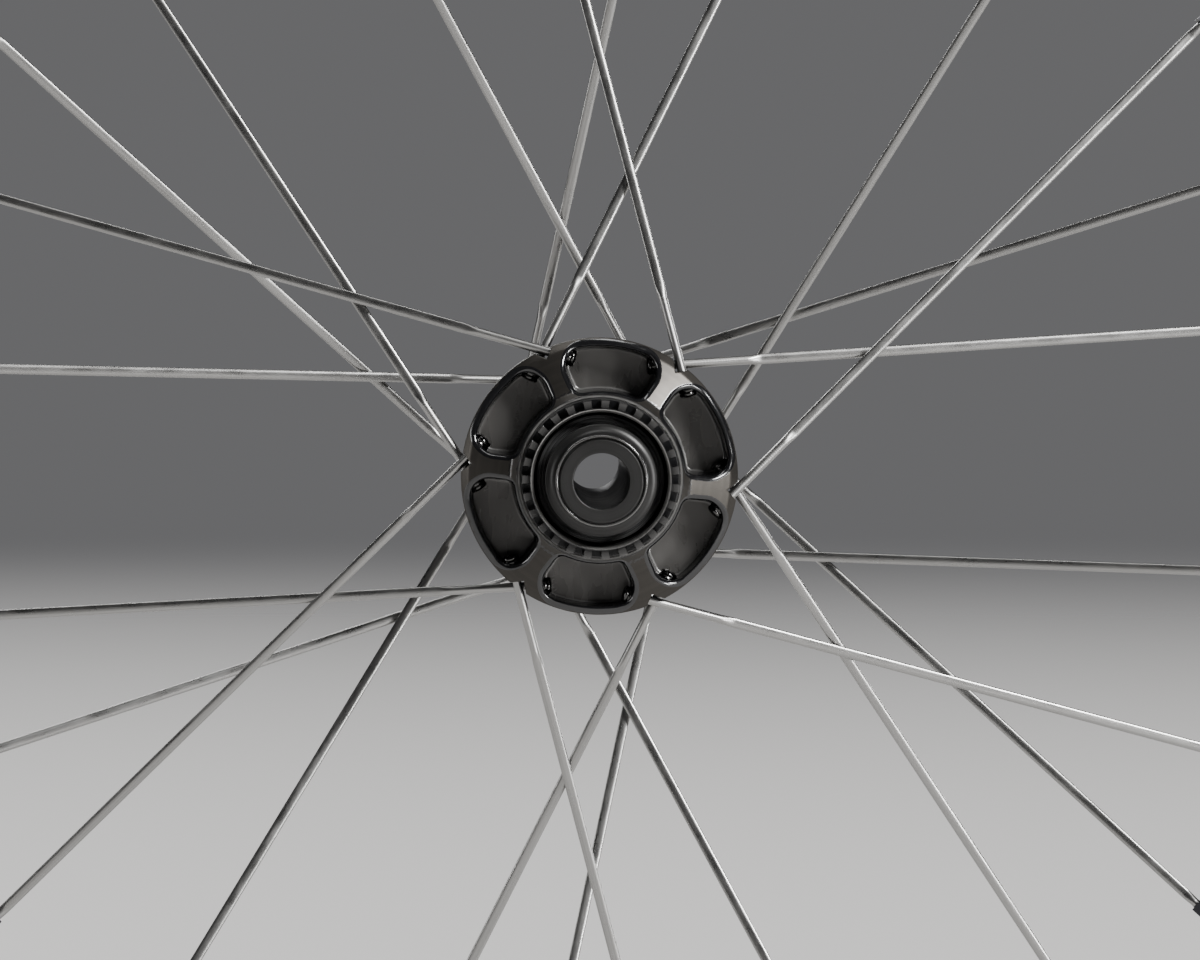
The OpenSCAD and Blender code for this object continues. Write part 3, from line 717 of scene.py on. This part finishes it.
class Nodes:
    """Short ways to add and join shader nodes in one tree."""

    def __init__(self, tree):
        self.tree = tree
        self.row = 0

    def add(self, kind, values=None, **settings):
        """Adds a node, sets its own settings, and sets or joins its sockets by name or number."""
        node = self.tree.nodes.new(kind)
        self.row += 1
        node.location = (self.row % 9 * 190 - 900, 500 - self.row // 9 * 260)
        for key, value in settings.items():
            setattr(node, key, value)
        for key, value in (values or {}).items():
            self.put(node.inputs[key], value)
        return node

    def put(self, socket, value):
        """Joins a socket to another, or sets it to a plain value."""
        if isinstance(value, bpy.types.NodeSocket):
            self.tree.links.new(value, socket)
        else:
            socket.default_value = value

    def math(self, operation, a, b=0.0, clamp=False):
        node = self.add("ShaderNodeMath", {0: a, 1: b}, operation=operation, use_clamp=clamp)
        return node.outputs[0]

    def noise(self, vector, scale, detail=2.0, rough=0.5):
        node = self.add("ShaderNodeTexNoise",
                        {"Vector": vector, "Scale": scale, "Detail": detail, "Roughness": rough})
        return node.outputs["Fac"]

    def span(self, value, low, high, to_low=0.0, to_high=1.0):
        node = self.add("ShaderNodeMapRange", {"Value": value, "From Min": low, "From Max": high,
                                               "To Min": to_low, "To Max": to_high})
        return node.outputs["Result"]

    def mix(self, share, a, b):
        node = self.add("ShaderNodeMix", {0: share, 2: a, 3: b}, data_type="FLOAT")
        return node.outputs[0]

    def mix_colour(self, share, a, b):
        node = self.add("ShaderNodeMix", {0: share, 6: a, 7: b}, data_type="RGBA")
        return node.outputs[2]

    def stretched(self, vector, scale):
        return self.add("ShaderNodeMapping", {"Vector": vector, "Scale": scale}).outputs[0]

    def times(self, a, b, clamp=False):
        return self.math("MULTIPLY", a, b, clamp)

    def plus(self, a, b, clamp=False):
        return self.math("ADD", a, b, clamp)

    def mark(self, name, output="Fac"):
        return self.add("ShaderNodeAttribute", attribute_name=name).outputs[output]

    def place_in(self):
        return self.add("ShaderNodeTexCoord").outputs["Object"]

    def vector(self, operation, a, b=(0.0, 0.0, 0.0), output="Vector"):
        return self.add("ShaderNodeVectorMath", {0: a, 1: b}, operation=operation).outputs[output]


def shader_group(name, inputs, outputs, build):
    """A shader node group with named sockets, which build(nodes, inputs) fills with its outputs' sources."""
    tree = bpy.data.node_groups.new(name, "ShaderNodeTree")
    for label, kind, default in inputs:
        socket = tree.interface.new_socket(label, in_out="INPUT", socket_type=kind)
        socket.default_value = default
    for label, kind in outputs:
        tree.interface.new_socket(label, in_out="OUTPUT", socket_type=kind)
    nodes = Nodes(tree)
    entry = nodes.add("NodeGroupInput")
    leave = nodes.add("NodeGroupOutput")
    for label, source in build(nodes, entry.outputs).items():
        tree.links.new(source, leave.inputs[label])
    return tree


def build_turning_marks(nodes, given):
    """Fine rings round the axle, as a lathe leaves them: noise that follows radius and height, not turn."""
    place_in = nodes.place_in()
    parts = nodes.add("ShaderNodeSeparateXYZ", {0: place_in}).outputs
    across = nodes.times(parts[0], parts[0])
    up = nodes.times(parts[2], parts[2])
    radius = nodes.math("SQRT", nodes.plus(across, up))
    drift = nodes.times(nodes.noise(place_in, 120.0, 1.0), 0.00006)
    ring = nodes.add("ShaderNodeCombineXYZ", {0: nodes.plus(radius, drift), 1: parts[1]}).outputs[0]
    rate = nodes.math("DIVIDE", 1.0, given["Spacing"])
    fine = nodes.noise(ring, rate, 3.0, 0.65)
    broad = nodes.noise(ring, nodes.times(rate, 0.17), 2.0, 0.5)
    height = nodes.plus(nodes.times(fine, 0.7), nodes.times(broad, 0.3))
    return {"Height": height, "Sheen": nodes.span(broad, 0.3, 0.7)}


def build_handling_wear(nodes, given):
    """Soft patches of polish and dust, with sparse fine scratches, so that no finish is even all over."""
    place_in = nodes.place_in()
    patch = nodes.span(nodes.noise(place_in, given["Patch rate"], 4.0, 0.6), 0.35, 0.68)
    shifted = nodes.vector("ADD", place_in, (0.013, 0.007, 0.021))
    cells = nodes.stretched(shifted, (210.0, 900.0, 1500.0))
    lines = nodes.add("ShaderNodeTexVoronoi", {"Vector": cells, "Scale": 1.0, "Randomness": 1.0},
                      feature="DISTANCE_TO_EDGE").outputs["Distance"]
    sparse = nodes.span(nodes.noise(place_in, 90.0, 2.0), 0.56, 0.66)
    scratch = nodes.times(nodes.span(lines, 0.035, 0.0), sparse, clamp=True)
    dust = nodes.span(nodes.noise(place_in, 5200.0, 2.0, 0.7), 0.68, 0.8)
    return {"Patch": patch, "Scratch": scratch, "Dust": nodes.times(dust, patch)}


def build_fine_grain(nodes, given):
    """Even fine grain, as of blasting or anodising, in the piece's own coordinates."""
    place_in = nodes.place_in()
    rate = nodes.math("DIVIDE", 1.0, given["Grain"])
    return {"Height": nodes.noise(place_in, rate, 3.0, 0.6)}


def shared_groups():
    """Builds the groups that several materials use."""
    scalar = "NodeSocketFloat"
    return {
        "turning": shader_group("Turning marks", [("Spacing", scalar, 0.0002)],
                                [("Height", scalar), ("Sheen", scalar)], build_turning_marks),
        "wear": shader_group("Handling wear", [("Patch rate", scalar, 60.0)],
                             [("Patch", scalar), ("Scratch", scalar), ("Dust", scalar)], build_handling_wear),
        "grain": shader_group("Fine grain", [("Grain", scalar, 0.0001)],
                              [("Height", scalar)], build_fine_grain),
    }


PALE_DUST = (0.32, 0.3, 0.28, 1)


def new_material(name):
    """A material with an empty tree but for its shader and output."""
    material = bpy.data.materials.new(name)
    material.use_nodes = True
    nodes = Nodes(material.node_tree)
    shader = material.node_tree.nodes["Principled BSDF"]
    return material, nodes, shader


def group_node(nodes, tree, **values):
    """A shared group placed in a material, with its own values."""
    node = nodes.add("ShaderNodeGroup", node_tree=tree)
    for key, value in values.items():
        nodes.put(node.inputs[key.replace("_", " ").capitalize()], value)
    return node.outputs


def dusted(nodes, wear, base):
    """The base colour with a little pale dust over it."""
    return nodes.mix_colour(nodes.times(wear["Dust"], 0.12), base, PALE_DUST)


def bump(nodes, shader, height, distance, strength=1.0, before=None):
    """Feeds a height to the shader's normal, over the bump before it if there is one."""
    values = {"Height": height, "Distance": distance, "Strength": strength}
    if before is not None:
        values["Normal"] = before
    out = nodes.add("ShaderNodeBump", values).outputs[0]
    nodes.put(shader.inputs["Normal"], out)
    return out


def shell_material(groups, colours):
    """Black anodised shell: satin where it was turned, and glossy in the milled pockets. Thin edges and
    fillets are polished, and their colour is lightened as a painted highlight.
    """
    material, nodes, shader = new_material("Black anodised shell")
    turned = nodes.mark("turned")
    floored = nodes.mark("floored")
    polished = nodes.mark("polished")
    rings = group_node(nodes, groups["turning"], spacing=0.00016)
    wear = group_node(nodes, groups["wear"], patch_rate=75.0)
    grain = group_node(nodes, groups["grain"], grain=0.00005)
    place_in = nodes.place_in()
    swirl = nodes.noise(nodes.stretched(place_in, (260.0, 1.0, 90.0)), 1.0, 2.0, 0.5)
    swirls = nodes.times(nodes.span(swirl, 0.4, 0.75), floored)
    tone = nodes.times(turned, nodes.span(rings["Sheen"], 0, 1, 0.75, 1.0))
    milled = nodes.mix_colour(floored, (*colours.gloss, 1), (*colours.floor, 1))
    base = nodes.mix_colour(tone, milled, (*colours.satin, 1))
    # Painted highlight: thin edges, fillets and rings are mixed towards the light edge colour so that they
    # read as bright lines; they are also made polished below
    base = nodes.mix_colour(polished, base, (*colours.edge, 1))
    base = dusted(nodes, wear, base)
    nodes.put(shader.inputs["Base Color"], base)
    metal = nodes.math("MAXIMUM", nodes.times(turned, 0.85), nodes.times(floored, 0.5))
    nodes.put(shader.inputs["Metallic"], nodes.math("MAXIMUM", metal, polished))
    gloss = nodes.mix(turned, nodes.mix(floored, 0.12, 0.22), 0.35)
    gloss = nodes.mix(polished, gloss, 0.3)
    gloss = nodes.plus(gloss, nodes.times(swirls, 0.2))
    gloss = nodes.plus(gloss, nodes.times(wear["Patch"], 0.06))
    gloss = nodes.plus(gloss, nodes.times(wear["Scratch"], 0.15), clamp=True)
    nodes.put(shader.inputs["Roughness"], gloss)
    shader.inputs["IOR"].default_value = 1.62
    first = bump(nodes, shader, nodes.times(rings["Height"], turned), 0.000006, 0.8)
    second = bump(nodes, shader, swirl, 0.000012, 0.25, first)
    bump(nodes, shader, grain["Height"], 0.000003, 0.4, second)
    return material


def cap_material(groups, colours):
    """Satin black anodised end cap with close lathe rings."""
    material, nodes, shader = new_material("Satin black cap")
    rings = group_node(nodes, groups["turning"], spacing=0.0001)
    wear = group_node(nodes, groups["wear"], patch_rate=110.0)
    grain = group_node(nodes, groups["grain"], grain=0.00004)
    polished = nodes.mark("polished")
    base = nodes.mix_colour(rings["Sheen"], (*colours.cap, 1), shaded(colours.cap, 1.5))
    base = dusted(nodes, wear, base)
    # Painted highlight: the bead's colour is five times the cap's, besides its low roughness
    base = nodes.mix_colour(polished, base, shaded(colours.cap, 5))
    nodes.put(shader.inputs["Base Color"], base)
    shader.inputs["Metallic"].default_value = 0.75
    rough = nodes.plus(nodes.span(wear["Patch"], 0, 1, 0.34, 0.42),
                       nodes.times(wear["Scratch"], 0.06))
    nodes.put(shader.inputs["Roughness"], nodes.mix(polished, rough, 0.16))
    first = bump(nodes, shader, rings["Height"], 0.000006, 0.7)
    bump(nodes, shader, grain["Height"], 0.000003, 0.5, first)
    return material


def rubber_material(groups, colours):
    """Matte black rubber with mould grain and a little dust in it."""
    material, nodes, shader = new_material("Black seal rubber")
    wear = group_node(nodes, groups["wear"], patch_rate=140.0)
    grain = group_node(nodes, groups["grain"], grain=0.00012)
    dust = nodes.times(wear["Dust"], 0.3)
    base = nodes.mix_colour(dust, (*colours.rubber, 1), (0.2, 0.19, 0.18, 1))
    nodes.put(shader.inputs["Base Color"], base)
    nodes.put(shader.inputs["Roughness"], nodes.span(grain["Height"], 0.3, 0.7, 0.5, 0.66))
    bump(nodes, shader, grain["Height"], 0.00002, 0.5)
    return material


def shaded(colour, share):
    """A colour made lighter or darker by a share, with its alpha."""
    return (*[c * share for c in colour], 1)


def spoke_material(colours):
    """Dark drawn stainless steel: streaks along the spoke, specks on the neck where it was forged, and a head
    darkened in colour as painted shade.
    """
    material, nodes, shader = new_material("Dark stainless spoke")
    where = nodes.mark("spoke_place", "Vector")
    streak = nodes.noise(nodes.stretched(where, (25.0, 2600.0, 2600.0)), 1.0, 2.0, 0.5)
    patch = nodes.noise(nodes.stretched(where, (160.0, 500.0, 500.0)), 1.0, 3.0, 0.6)
    specks = nodes.noise(nodes.stretched(where, (4200.0, 4200.0, 4200.0)), 1.0, 2.0, 0.7)
    along = nodes.add("ShaderNodeSeparateXYZ", {0: where}).outputs[0]
    ahead = 20 * MM
    length_in = nodes.math("MODULO", nodes.plus(along, ahead), SPOKE_SPACING)
    neck = nodes.span(length_in, ahead + 14 * MM, ahead + 19 * MM, 1.0, 0.0)
    head = nodes.span(length_in, ahead - 5.3 * MM, ahead - 5.1 * MM, 1.0, 0.0)
    base = nodes.mix_colour(streak, shaded(colours.spoke, 0.72), shaded(colours.spoke, 1.2))
    # Painted shade: the polished head's colour is darkened to about a fifth, standing in for the dark
    # surroundings it reflects
    base = nodes.mix_colour(head, base, shaded(colours.spoke, 0.22))
    nodes.put(shader.inputs["Base Color"], base)
    shader.inputs["Metallic"].default_value = 1.0
    rough = nodes.plus(nodes.span(patch, 0.3, 0.7, 0.25, 0.35),
                       nodes.times(nodes.times(neck, specks), 0.12))
    nodes.put(shader.inputs["Roughness"], nodes.mix(head, rough, 0.1))
    first = bump(nodes, shader, streak, 0.000004, 0.25)
    bump(nodes, shader, nodes.times(specks, neck), 0.00001, 0.5, first)
    return material


def metal_material(groups, name, colour, rough, ring_spacing, ring_depth, metallic=1.0):
    """Turned or ground metal, with rings round the axle, patches of polish and a fine grain."""
    material, nodes, shader = new_material(name)
    rings = group_node(nodes, groups["turning"], spacing=ring_spacing)
    wear = group_node(nodes, groups["wear"], patch_rate=130.0)
    base = nodes.mix_colour(rings["Sheen"], shaded(colour, 0.88), (*colour, 1))
    nodes.put(shader.inputs["Base Color"], base)
    shader.inputs["Metallic"].default_value = metallic
    gloss = nodes.plus(nodes.span(wear["Patch"], 0, 1, rough, rough * 1.35),
                       nodes.times(wear["Scratch"], 0.12), clamp=True)
    nodes.put(shader.inputs["Roughness"], gloss)
    bump(nodes, shader, rings["Height"], ring_depth, 0.6)
    return material


def nylon_material(groups):
    """Moulded dark nylon, faintly mottled."""
    material, nodes, shader = new_material("Dark cage nylon")
    grain = group_node(nodes, groups["grain"], grain=0.0002)
    base = nodes.mix_colour(grain["Height"], (0.035, 0.035, 0.036, 1), (0.06, 0.06, 0.06, 1))
    nodes.put(shader.inputs["Base Color"], base)
    nodes.put(shader.inputs["Roughness"], nodes.span(grain["Height"], 0.3, 0.7, 0.42, 0.55))
    bump(nodes, shader, grain["Height"], 0.00001, 0.5)
    return material


FINISHES = {}


def finishes():
    """The materials, built once from the colours in the sidebar."""
    if not FINISHES:
        colours = bpy.context.scene.hub_colours
        groups = shared_groups()
        FINISHES.update(
            shell=shell_material(groups, colours),
            cap=cap_material(groups, colours),
            rubber=rubber_material(groups, colours),
            spoke=spoke_material(colours),
            nipple=metal_material(groups, "Black nipple alloy", (0.045, 0.045, 0.05), 0.3,
                                  0.0003, 0.000006, 0.8),
            axle=metal_material(groups, "Black anodised axle", (0.04, 0.04, 0.042), 0.28,
                                0.0002, 0.000008, 0.8),
            race=metal_material(groups, "Ground bearing steel", (0.62, 0.63, 0.65), 0.18, 0.00008, 0.000003),
            ball=metal_material(groups, "Polished ball steel", (0.8, 0.81, 0.83), 0.06, 0.0004, 0.000001),
            nylon=nylon_material(groups),
        )
    return FINISHES


# ---------------------------------------------------------------- sidebar settings

class HubColours(bpy.types.PropertyGroup):
    """Colours of the hub's finishes."""

    gloss: FloatVectorProperty(name="Gloss black", description="Colour of the glossy milled pockets",
                               subtype="COLOR", default=(0.0045, 0.0045, 0.005), min=0, max=1)
    floor: FloatVectorProperty(name="Pocket floor", description="Colour of the pockets' milled floors",
                               subtype="COLOR", default=(0.075, 0.072, 0.068), min=0, max=1)
    # The edge colour is a painted highlight: thin edges, fillets and rings are mixed towards it so that they
    # read as bright lines
    edge: FloatVectorProperty(name="Polished edge", description="Colour of the thin polished edges",
                              subtype="COLOR", default=(0.3, 0.295, 0.285), min=0, max=1)
    satin: FloatVectorProperty(name="Satin", description="Colour of the turned satin faces", subtype="COLOR",
                               default=(0.042, 0.0385, 0.034), min=0, max=1)
    cap: FloatVectorProperty(name="Cap", description="Colour of the end caps", subtype="COLOR",
                             default=(0.022, 0.0217, 0.0213), min=0, max=1)
    rubber: FloatVectorProperty(name="Rubber", description="Colour of the dust seals", subtype="COLOR",
                                default=(0.012, 0.012, 0.012), min=0, max=1)
    spoke: FloatVectorProperty(name="Spoke", description="Colour of the spokes", subtype="COLOR",
                               default=(0.3, 0.297, 0.29), min=0, max=1)


class HubSizes(bpy.types.PropertyGroup):
    """Sizes that the studio and the flanges are built to."""

    left_turn: FloatProperty(name="Left flange turn", description="Turn of the left flange's arms",
                             default=math.radians(-6), subtype="ANGLE")
    right_turn: FloatProperty(name="Right flange turn", description="Turn of the right flange's arms",
                              default=math.radians(8), subtype="ANGLE")
    rim_seat: FloatProperty(name="Rim seat radius", description="Radius at which the nipples sit in the rim",
                            default=178 * MM, min=0.1, max=0.4, unit="LENGTH")
    camera_distance: FloatProperty(name="Camera distance", description="From the camera to the end face",
                                   default=1.05, min=0.3, max=5, unit="LENGTH")


RIGHT_FLANGE_R = 25.3 * MM
LEFT_MID, RIGHT_MID = 22.7 * MM, -34 * MM
RIM_OFFSET = 2 * MM


def left_flange(turned):
    """The left flange: a long slope, a small turned step and a wide dished face."""
    return FlangeShape(
        radius=LEFT_FLANGE_R, mid=LEFT_MID, side=1, turned=turned, hub=18.2 * MM,
        top=np.array([[18.2, 10.8], [19.65, 9.12], [19.95, 9.02], [28.9, 4.7], [30.5, 3.2]]) * MM,
        foot=np.array([[14.0, -6.6], [18.8, -6.6], [29.2, -5.8], [30.5, -4.5]]) * MM,
        pocket_in=18.9 * MM, pocket_out=28.7 * MM, arm_half=2.7 * MM,
        corner_in=2 * MM, corner_out=4.2 * MM)


def right_flange(turned):
    """The right flange, smaller, with one slope."""
    return FlangeShape(
        radius=RIGHT_FLANGE_R, mid=RIGHT_MID, side=-1, turned=turned, hub=16.2 * MM,
        top=np.array([[16.2, 6.6], [17.2, 6.0], [24.1, 4.4], [25.3, 3.2]]) * MM,
        foot=np.array([[14.0, -6.3], [17.6, -6.3], [24.2, -5.8], [25.3, -4.7]]) * MM,
        pocket_in=17.2 * MM, pocket_out=23.5 * MM, arm_half=2.5 * MM,
        corner_in=1.4 * MM, corner_out=3.4 * MM)


# ---------------------------------------------------------------- operators

class HUB_OT_shell(bpy.types.Operator):
    """Builds the shell: two flanges, the barrel, the rotor seat and the right boss"""

    bl_idname = "hub.shell"
    bl_label = "Shell"

    def execute(self, context):
        sizes = context.scene.hub_sizes
        material = finishes()["shell"]
        flange_piece("shell_left_flange", left_flange(math.degrees(sizes.left_turn)), material)
        flange_piece("shell_right_flange", right_flange(math.degrees(sizes.right_turn)), material)
        barrel_piece(material)
        right_boss_piece(material)
        rotor_seat_piece(material)
        return {"FINISHED"}


class HUB_OT_caps(bpy.types.Operator):
    """Builds the end caps and the dust seals behind them"""

    bl_idname = "hub.caps"
    bl_label = "Caps and seals"

    def execute(self, context):
        for side in (1, -1):
            end_cap_piece(side, finishes()["cap"])
            dust_seal_piece(side, finishes()["rubber"])
        return {"FINISHED"}


class HUB_OT_spokes(bpy.types.Operator):
    """Builds the four sets of bladed spokes"""

    bl_idname = "hub.spokes"
    bl_label = "Spokes"

    def execute(self, context):
        sizes = context.scene.hub_sizes
        flanges = (("left", LEFT_FLANGE_R, sizes.left_turn, LEFT_MID, RIM_OFFSET),
                   ("right", RIGHT_FLANGE_R, sizes.right_turn, RIGHT_MID, -RIM_OFFSET))
        for label, flange_r, turned, mid, z_rim in flanges:
            for face, side in (("front", 1), ("back", -1)):
                spoke_set_piece(f"bladed_{label}_{face}_spokes", flange_r, math.degrees(turned), side,
                                mid + side * HOLE_GAP, z_rim, sizes.rim_seat, finishes()["spoke"])
        return {"FINISHED"}


class HUB_OT_carried(bpy.types.Operator):
    """Gives the axle, the bearings' parts, the O-rings and the nipples their finishes"""

    bl_idname = "hub.carried"
    bl_label = "Axle, bearings and nipples"

    def execute(self, context):
        made = finishes()
        wanted = {"outer_race": "race", "inner_race": "race", "balls": "ball", "ball_cage": "nylon",
                  "outer_bearing_seal": "rubber", "inner_bearing_seal": "rubber", "cap_o_ring": "rubber",
                  "nipples": "nipple"}
        pairs = [(f"{side}_{part}", finish) for side in ("left", "right") for part, finish in wanted.items()]
        for node, finish in [("axle", "axle")] + pairs:
            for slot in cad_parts[node].material_slots:
                slot.material = made[finish]
        return {"FINISHED"}


class HUB_OT_studio(bpy.types.Operator):
    """Builds the pale floor, the soft lights and the camera"""

    bl_idname = "hub.studio"
    bl_label = "Studio"

    def execute(self, context):
        studio_floor()
        studio_lights()
        studio_world(context.scene)
        studio_camera(context.scene)
        return {"FINISHED"}


class HUB_PT_panel(bpy.types.Panel):
    """Lists the hub's operators, sizes and colours"""

    bl_idname = "HUB_PT_panel"
    bl_label = "Front disc hub"
    bl_space_type = "VIEW_3D"
    bl_region_type = "UI"
    bl_category = "Hub"

    def draw(self, context):
        column = self.layout.column()
        for operator in OPERATORS:
            column.operator(operator.bl_idname)
        for group in (context.scene.hub_sizes, context.scene.hub_colours):
            for key in group.__annotations__:
                column.prop(group, key)


# ---------------------------------------------------------------- studio

def studio_floor():
    """A pale disc under the wheel, which fades out long before its edge."""
    segments = 96
    radius = np.array([0.0, 0.5, 1.0, 2.0, 3.0, 4.5, 6.0])[:, None]
    angle = np.linspace(0, 2 * math.pi, segments, endpoint=False)
    below = 50 * MM
    height = CAD_BOX[0][2] - below
    points = np.stack([radius * np.cos(angle), radius * np.sin(angle),
                       np.full((len(radius), segments), height)], axis=-1)
    mesh = bpy.data.meshes.new("studio_floor")
    quads = grid_quads(len(radius), segments, wrap_cols=True)
    mesh.from_pydata(points.reshape(-1, 3).tolist(), [], quads.tolist())
    floor = bpy.data.objects.new("studio_floor", mesh)
    bpy.context.collection.objects.link(floor)
    material, nodes, shader = new_material("Pale floor")
    shader.inputs["Base Color"].default_value = (0.62, 0.61, 0.6, 1)
    shader.inputs["Roughness"].default_value = 0.75
    place_in = nodes.place_in()
    level = nodes.vector("MULTIPLY", place_in, (1.0, 1.0, 0.0))
    away = nodes.vector("LENGTH", level, output="Value")
    fade = nodes.add("ShaderNodeMapRange", {"Value": away, "From Min": 0.9, "From Max": 4.0,
                                            "To Min": 1.0, "To Max": 0.0},
                     interpolation_type="SMOOTHSTEP").outputs["Result"]
    nodes.put(shader.inputs["Alpha"], fade)
    mesh.materials.append(material)


def area_light(name, at, size, power):
    """A soft rectangular light at a point, aimed at the middle of the hub."""
    data = bpy.data.lights.new(name, "AREA")
    data.shape = "RECTANGLE"
    data.size, data.size_y = size
    data.energy = power
    light = bpy.data.objects.new(name, data)
    light.location = at
    light.rotation_euler = (-Vector(at)).to_track_quat("-Z", "Y").to_euler()
    bpy.context.collection.objects.link(light)


def studio_lights():
    """A main soft box up to the right, a lower one beside it, and dimmer strips and boxes all round."""
    area_light("upper_right_soft_box", (1.76, -2.0, 1.76), (0.84, 0.84), 195)
    area_light("right_soft_box", (2.9, -2.9, -0.05), (0.75, 0.65), 100)
    area_light("left_strip", (-4.0, -0.9, 0.3), (0.75, 2.2), 45)
    area_light("top_strip", (-0.2, -0.4, 2.7), (2.0, 0.4), 22)
    area_light("back_soft_box", (-1.6, 3.4, 2.4), (2.0, 1.6), 120)
    area_light("back_low_strip", (3.25, 2.5, 0.5), (0.75, 1.6), 70)


def studio_world(scene):
    """An even grey surround to look at, dimmer where it lights the hub, so that black stays black."""
    world = bpy.data.worlds.new("Studio surround")
    scene.world = world
    world.use_nodes = True
    nodes = Nodes(world.node_tree)
    back = world.node_tree.nodes["Background"]
    seen = nodes.add("ShaderNodeLightPath").outputs["Is Camera Ray"]
    lighting, surround = (0.035, 0.035, 0.036, 1), (0.14, 0.14, 0.144, 1)
    nodes.put(back.inputs["Color"], nodes.mix_colour(seen, lighting, surround))


# How much of the wheel's width the camera takes in, at the near end face
VIEW_WIDTH = 258.0645 * MM


def studio_camera(scene):
    """A long lens a little above and to the left of the axle, aimed at the near end face."""
    distance = scene.hub_sizes.camera_distance
    left, above = math.radians(1.2), math.radians(2.5)
    aim = Vector((-0.39 * MM, -END_FACE, 0.28 * MM))
    back = Vector((-math.sin(left) * math.cos(above), -math.cos(left) * math.cos(above), math.sin(above)))
    data = bpy.data.cameras.new("studio_camera")
    data.sensor_width = 36
    data.sensor_fit = "HORIZONTAL"
    data.lens = data.sensor_width * distance / VIEW_WIDTH
    data.clip_start, data.clip_end = 0.05, 50
    camera = bpy.data.objects.new("studio_camera", data)
    camera.location = aim + back * distance
    camera.rotation_euler = (-back).to_track_quat("-Z", "Y").to_euler()
    bpy.context.collection.objects.link(camera)
    scene.camera = camera


# ---------------------------------------------------------------- registration and run

OPERATORS = (HUB_OT_shell, HUB_OT_caps, HUB_OT_spokes, HUB_OT_carried, HUB_OT_studio)
CLASSES = (HubColours, HubSizes) + OPERATORS + (HUB_PT_panel,)


def register():
    for cls in CLASSES:
        bpy.utils.register_class(cls)
    bpy.types.Scene.hub_colours = PointerProperty(type=HubColours)
    bpy.types.Scene.hub_sizes = PointerProperty(type=HubSizes)


def unregister():
    del bpy.types.Scene.hub_sizes
    del bpy.types.Scene.hub_colours
    for cls in reversed(CLASSES):
        bpy.utils.unregister_class(cls)


def main():
    """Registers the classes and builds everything."""
    register()
    bpy.ops.hub.shell()
    bpy.ops.hub.caps()
    bpy.ops.hub.spokes()
    bpy.ops.hub.carried()
    bpy.ops.hub.studio()


if __name__ == "__main__":
    main()
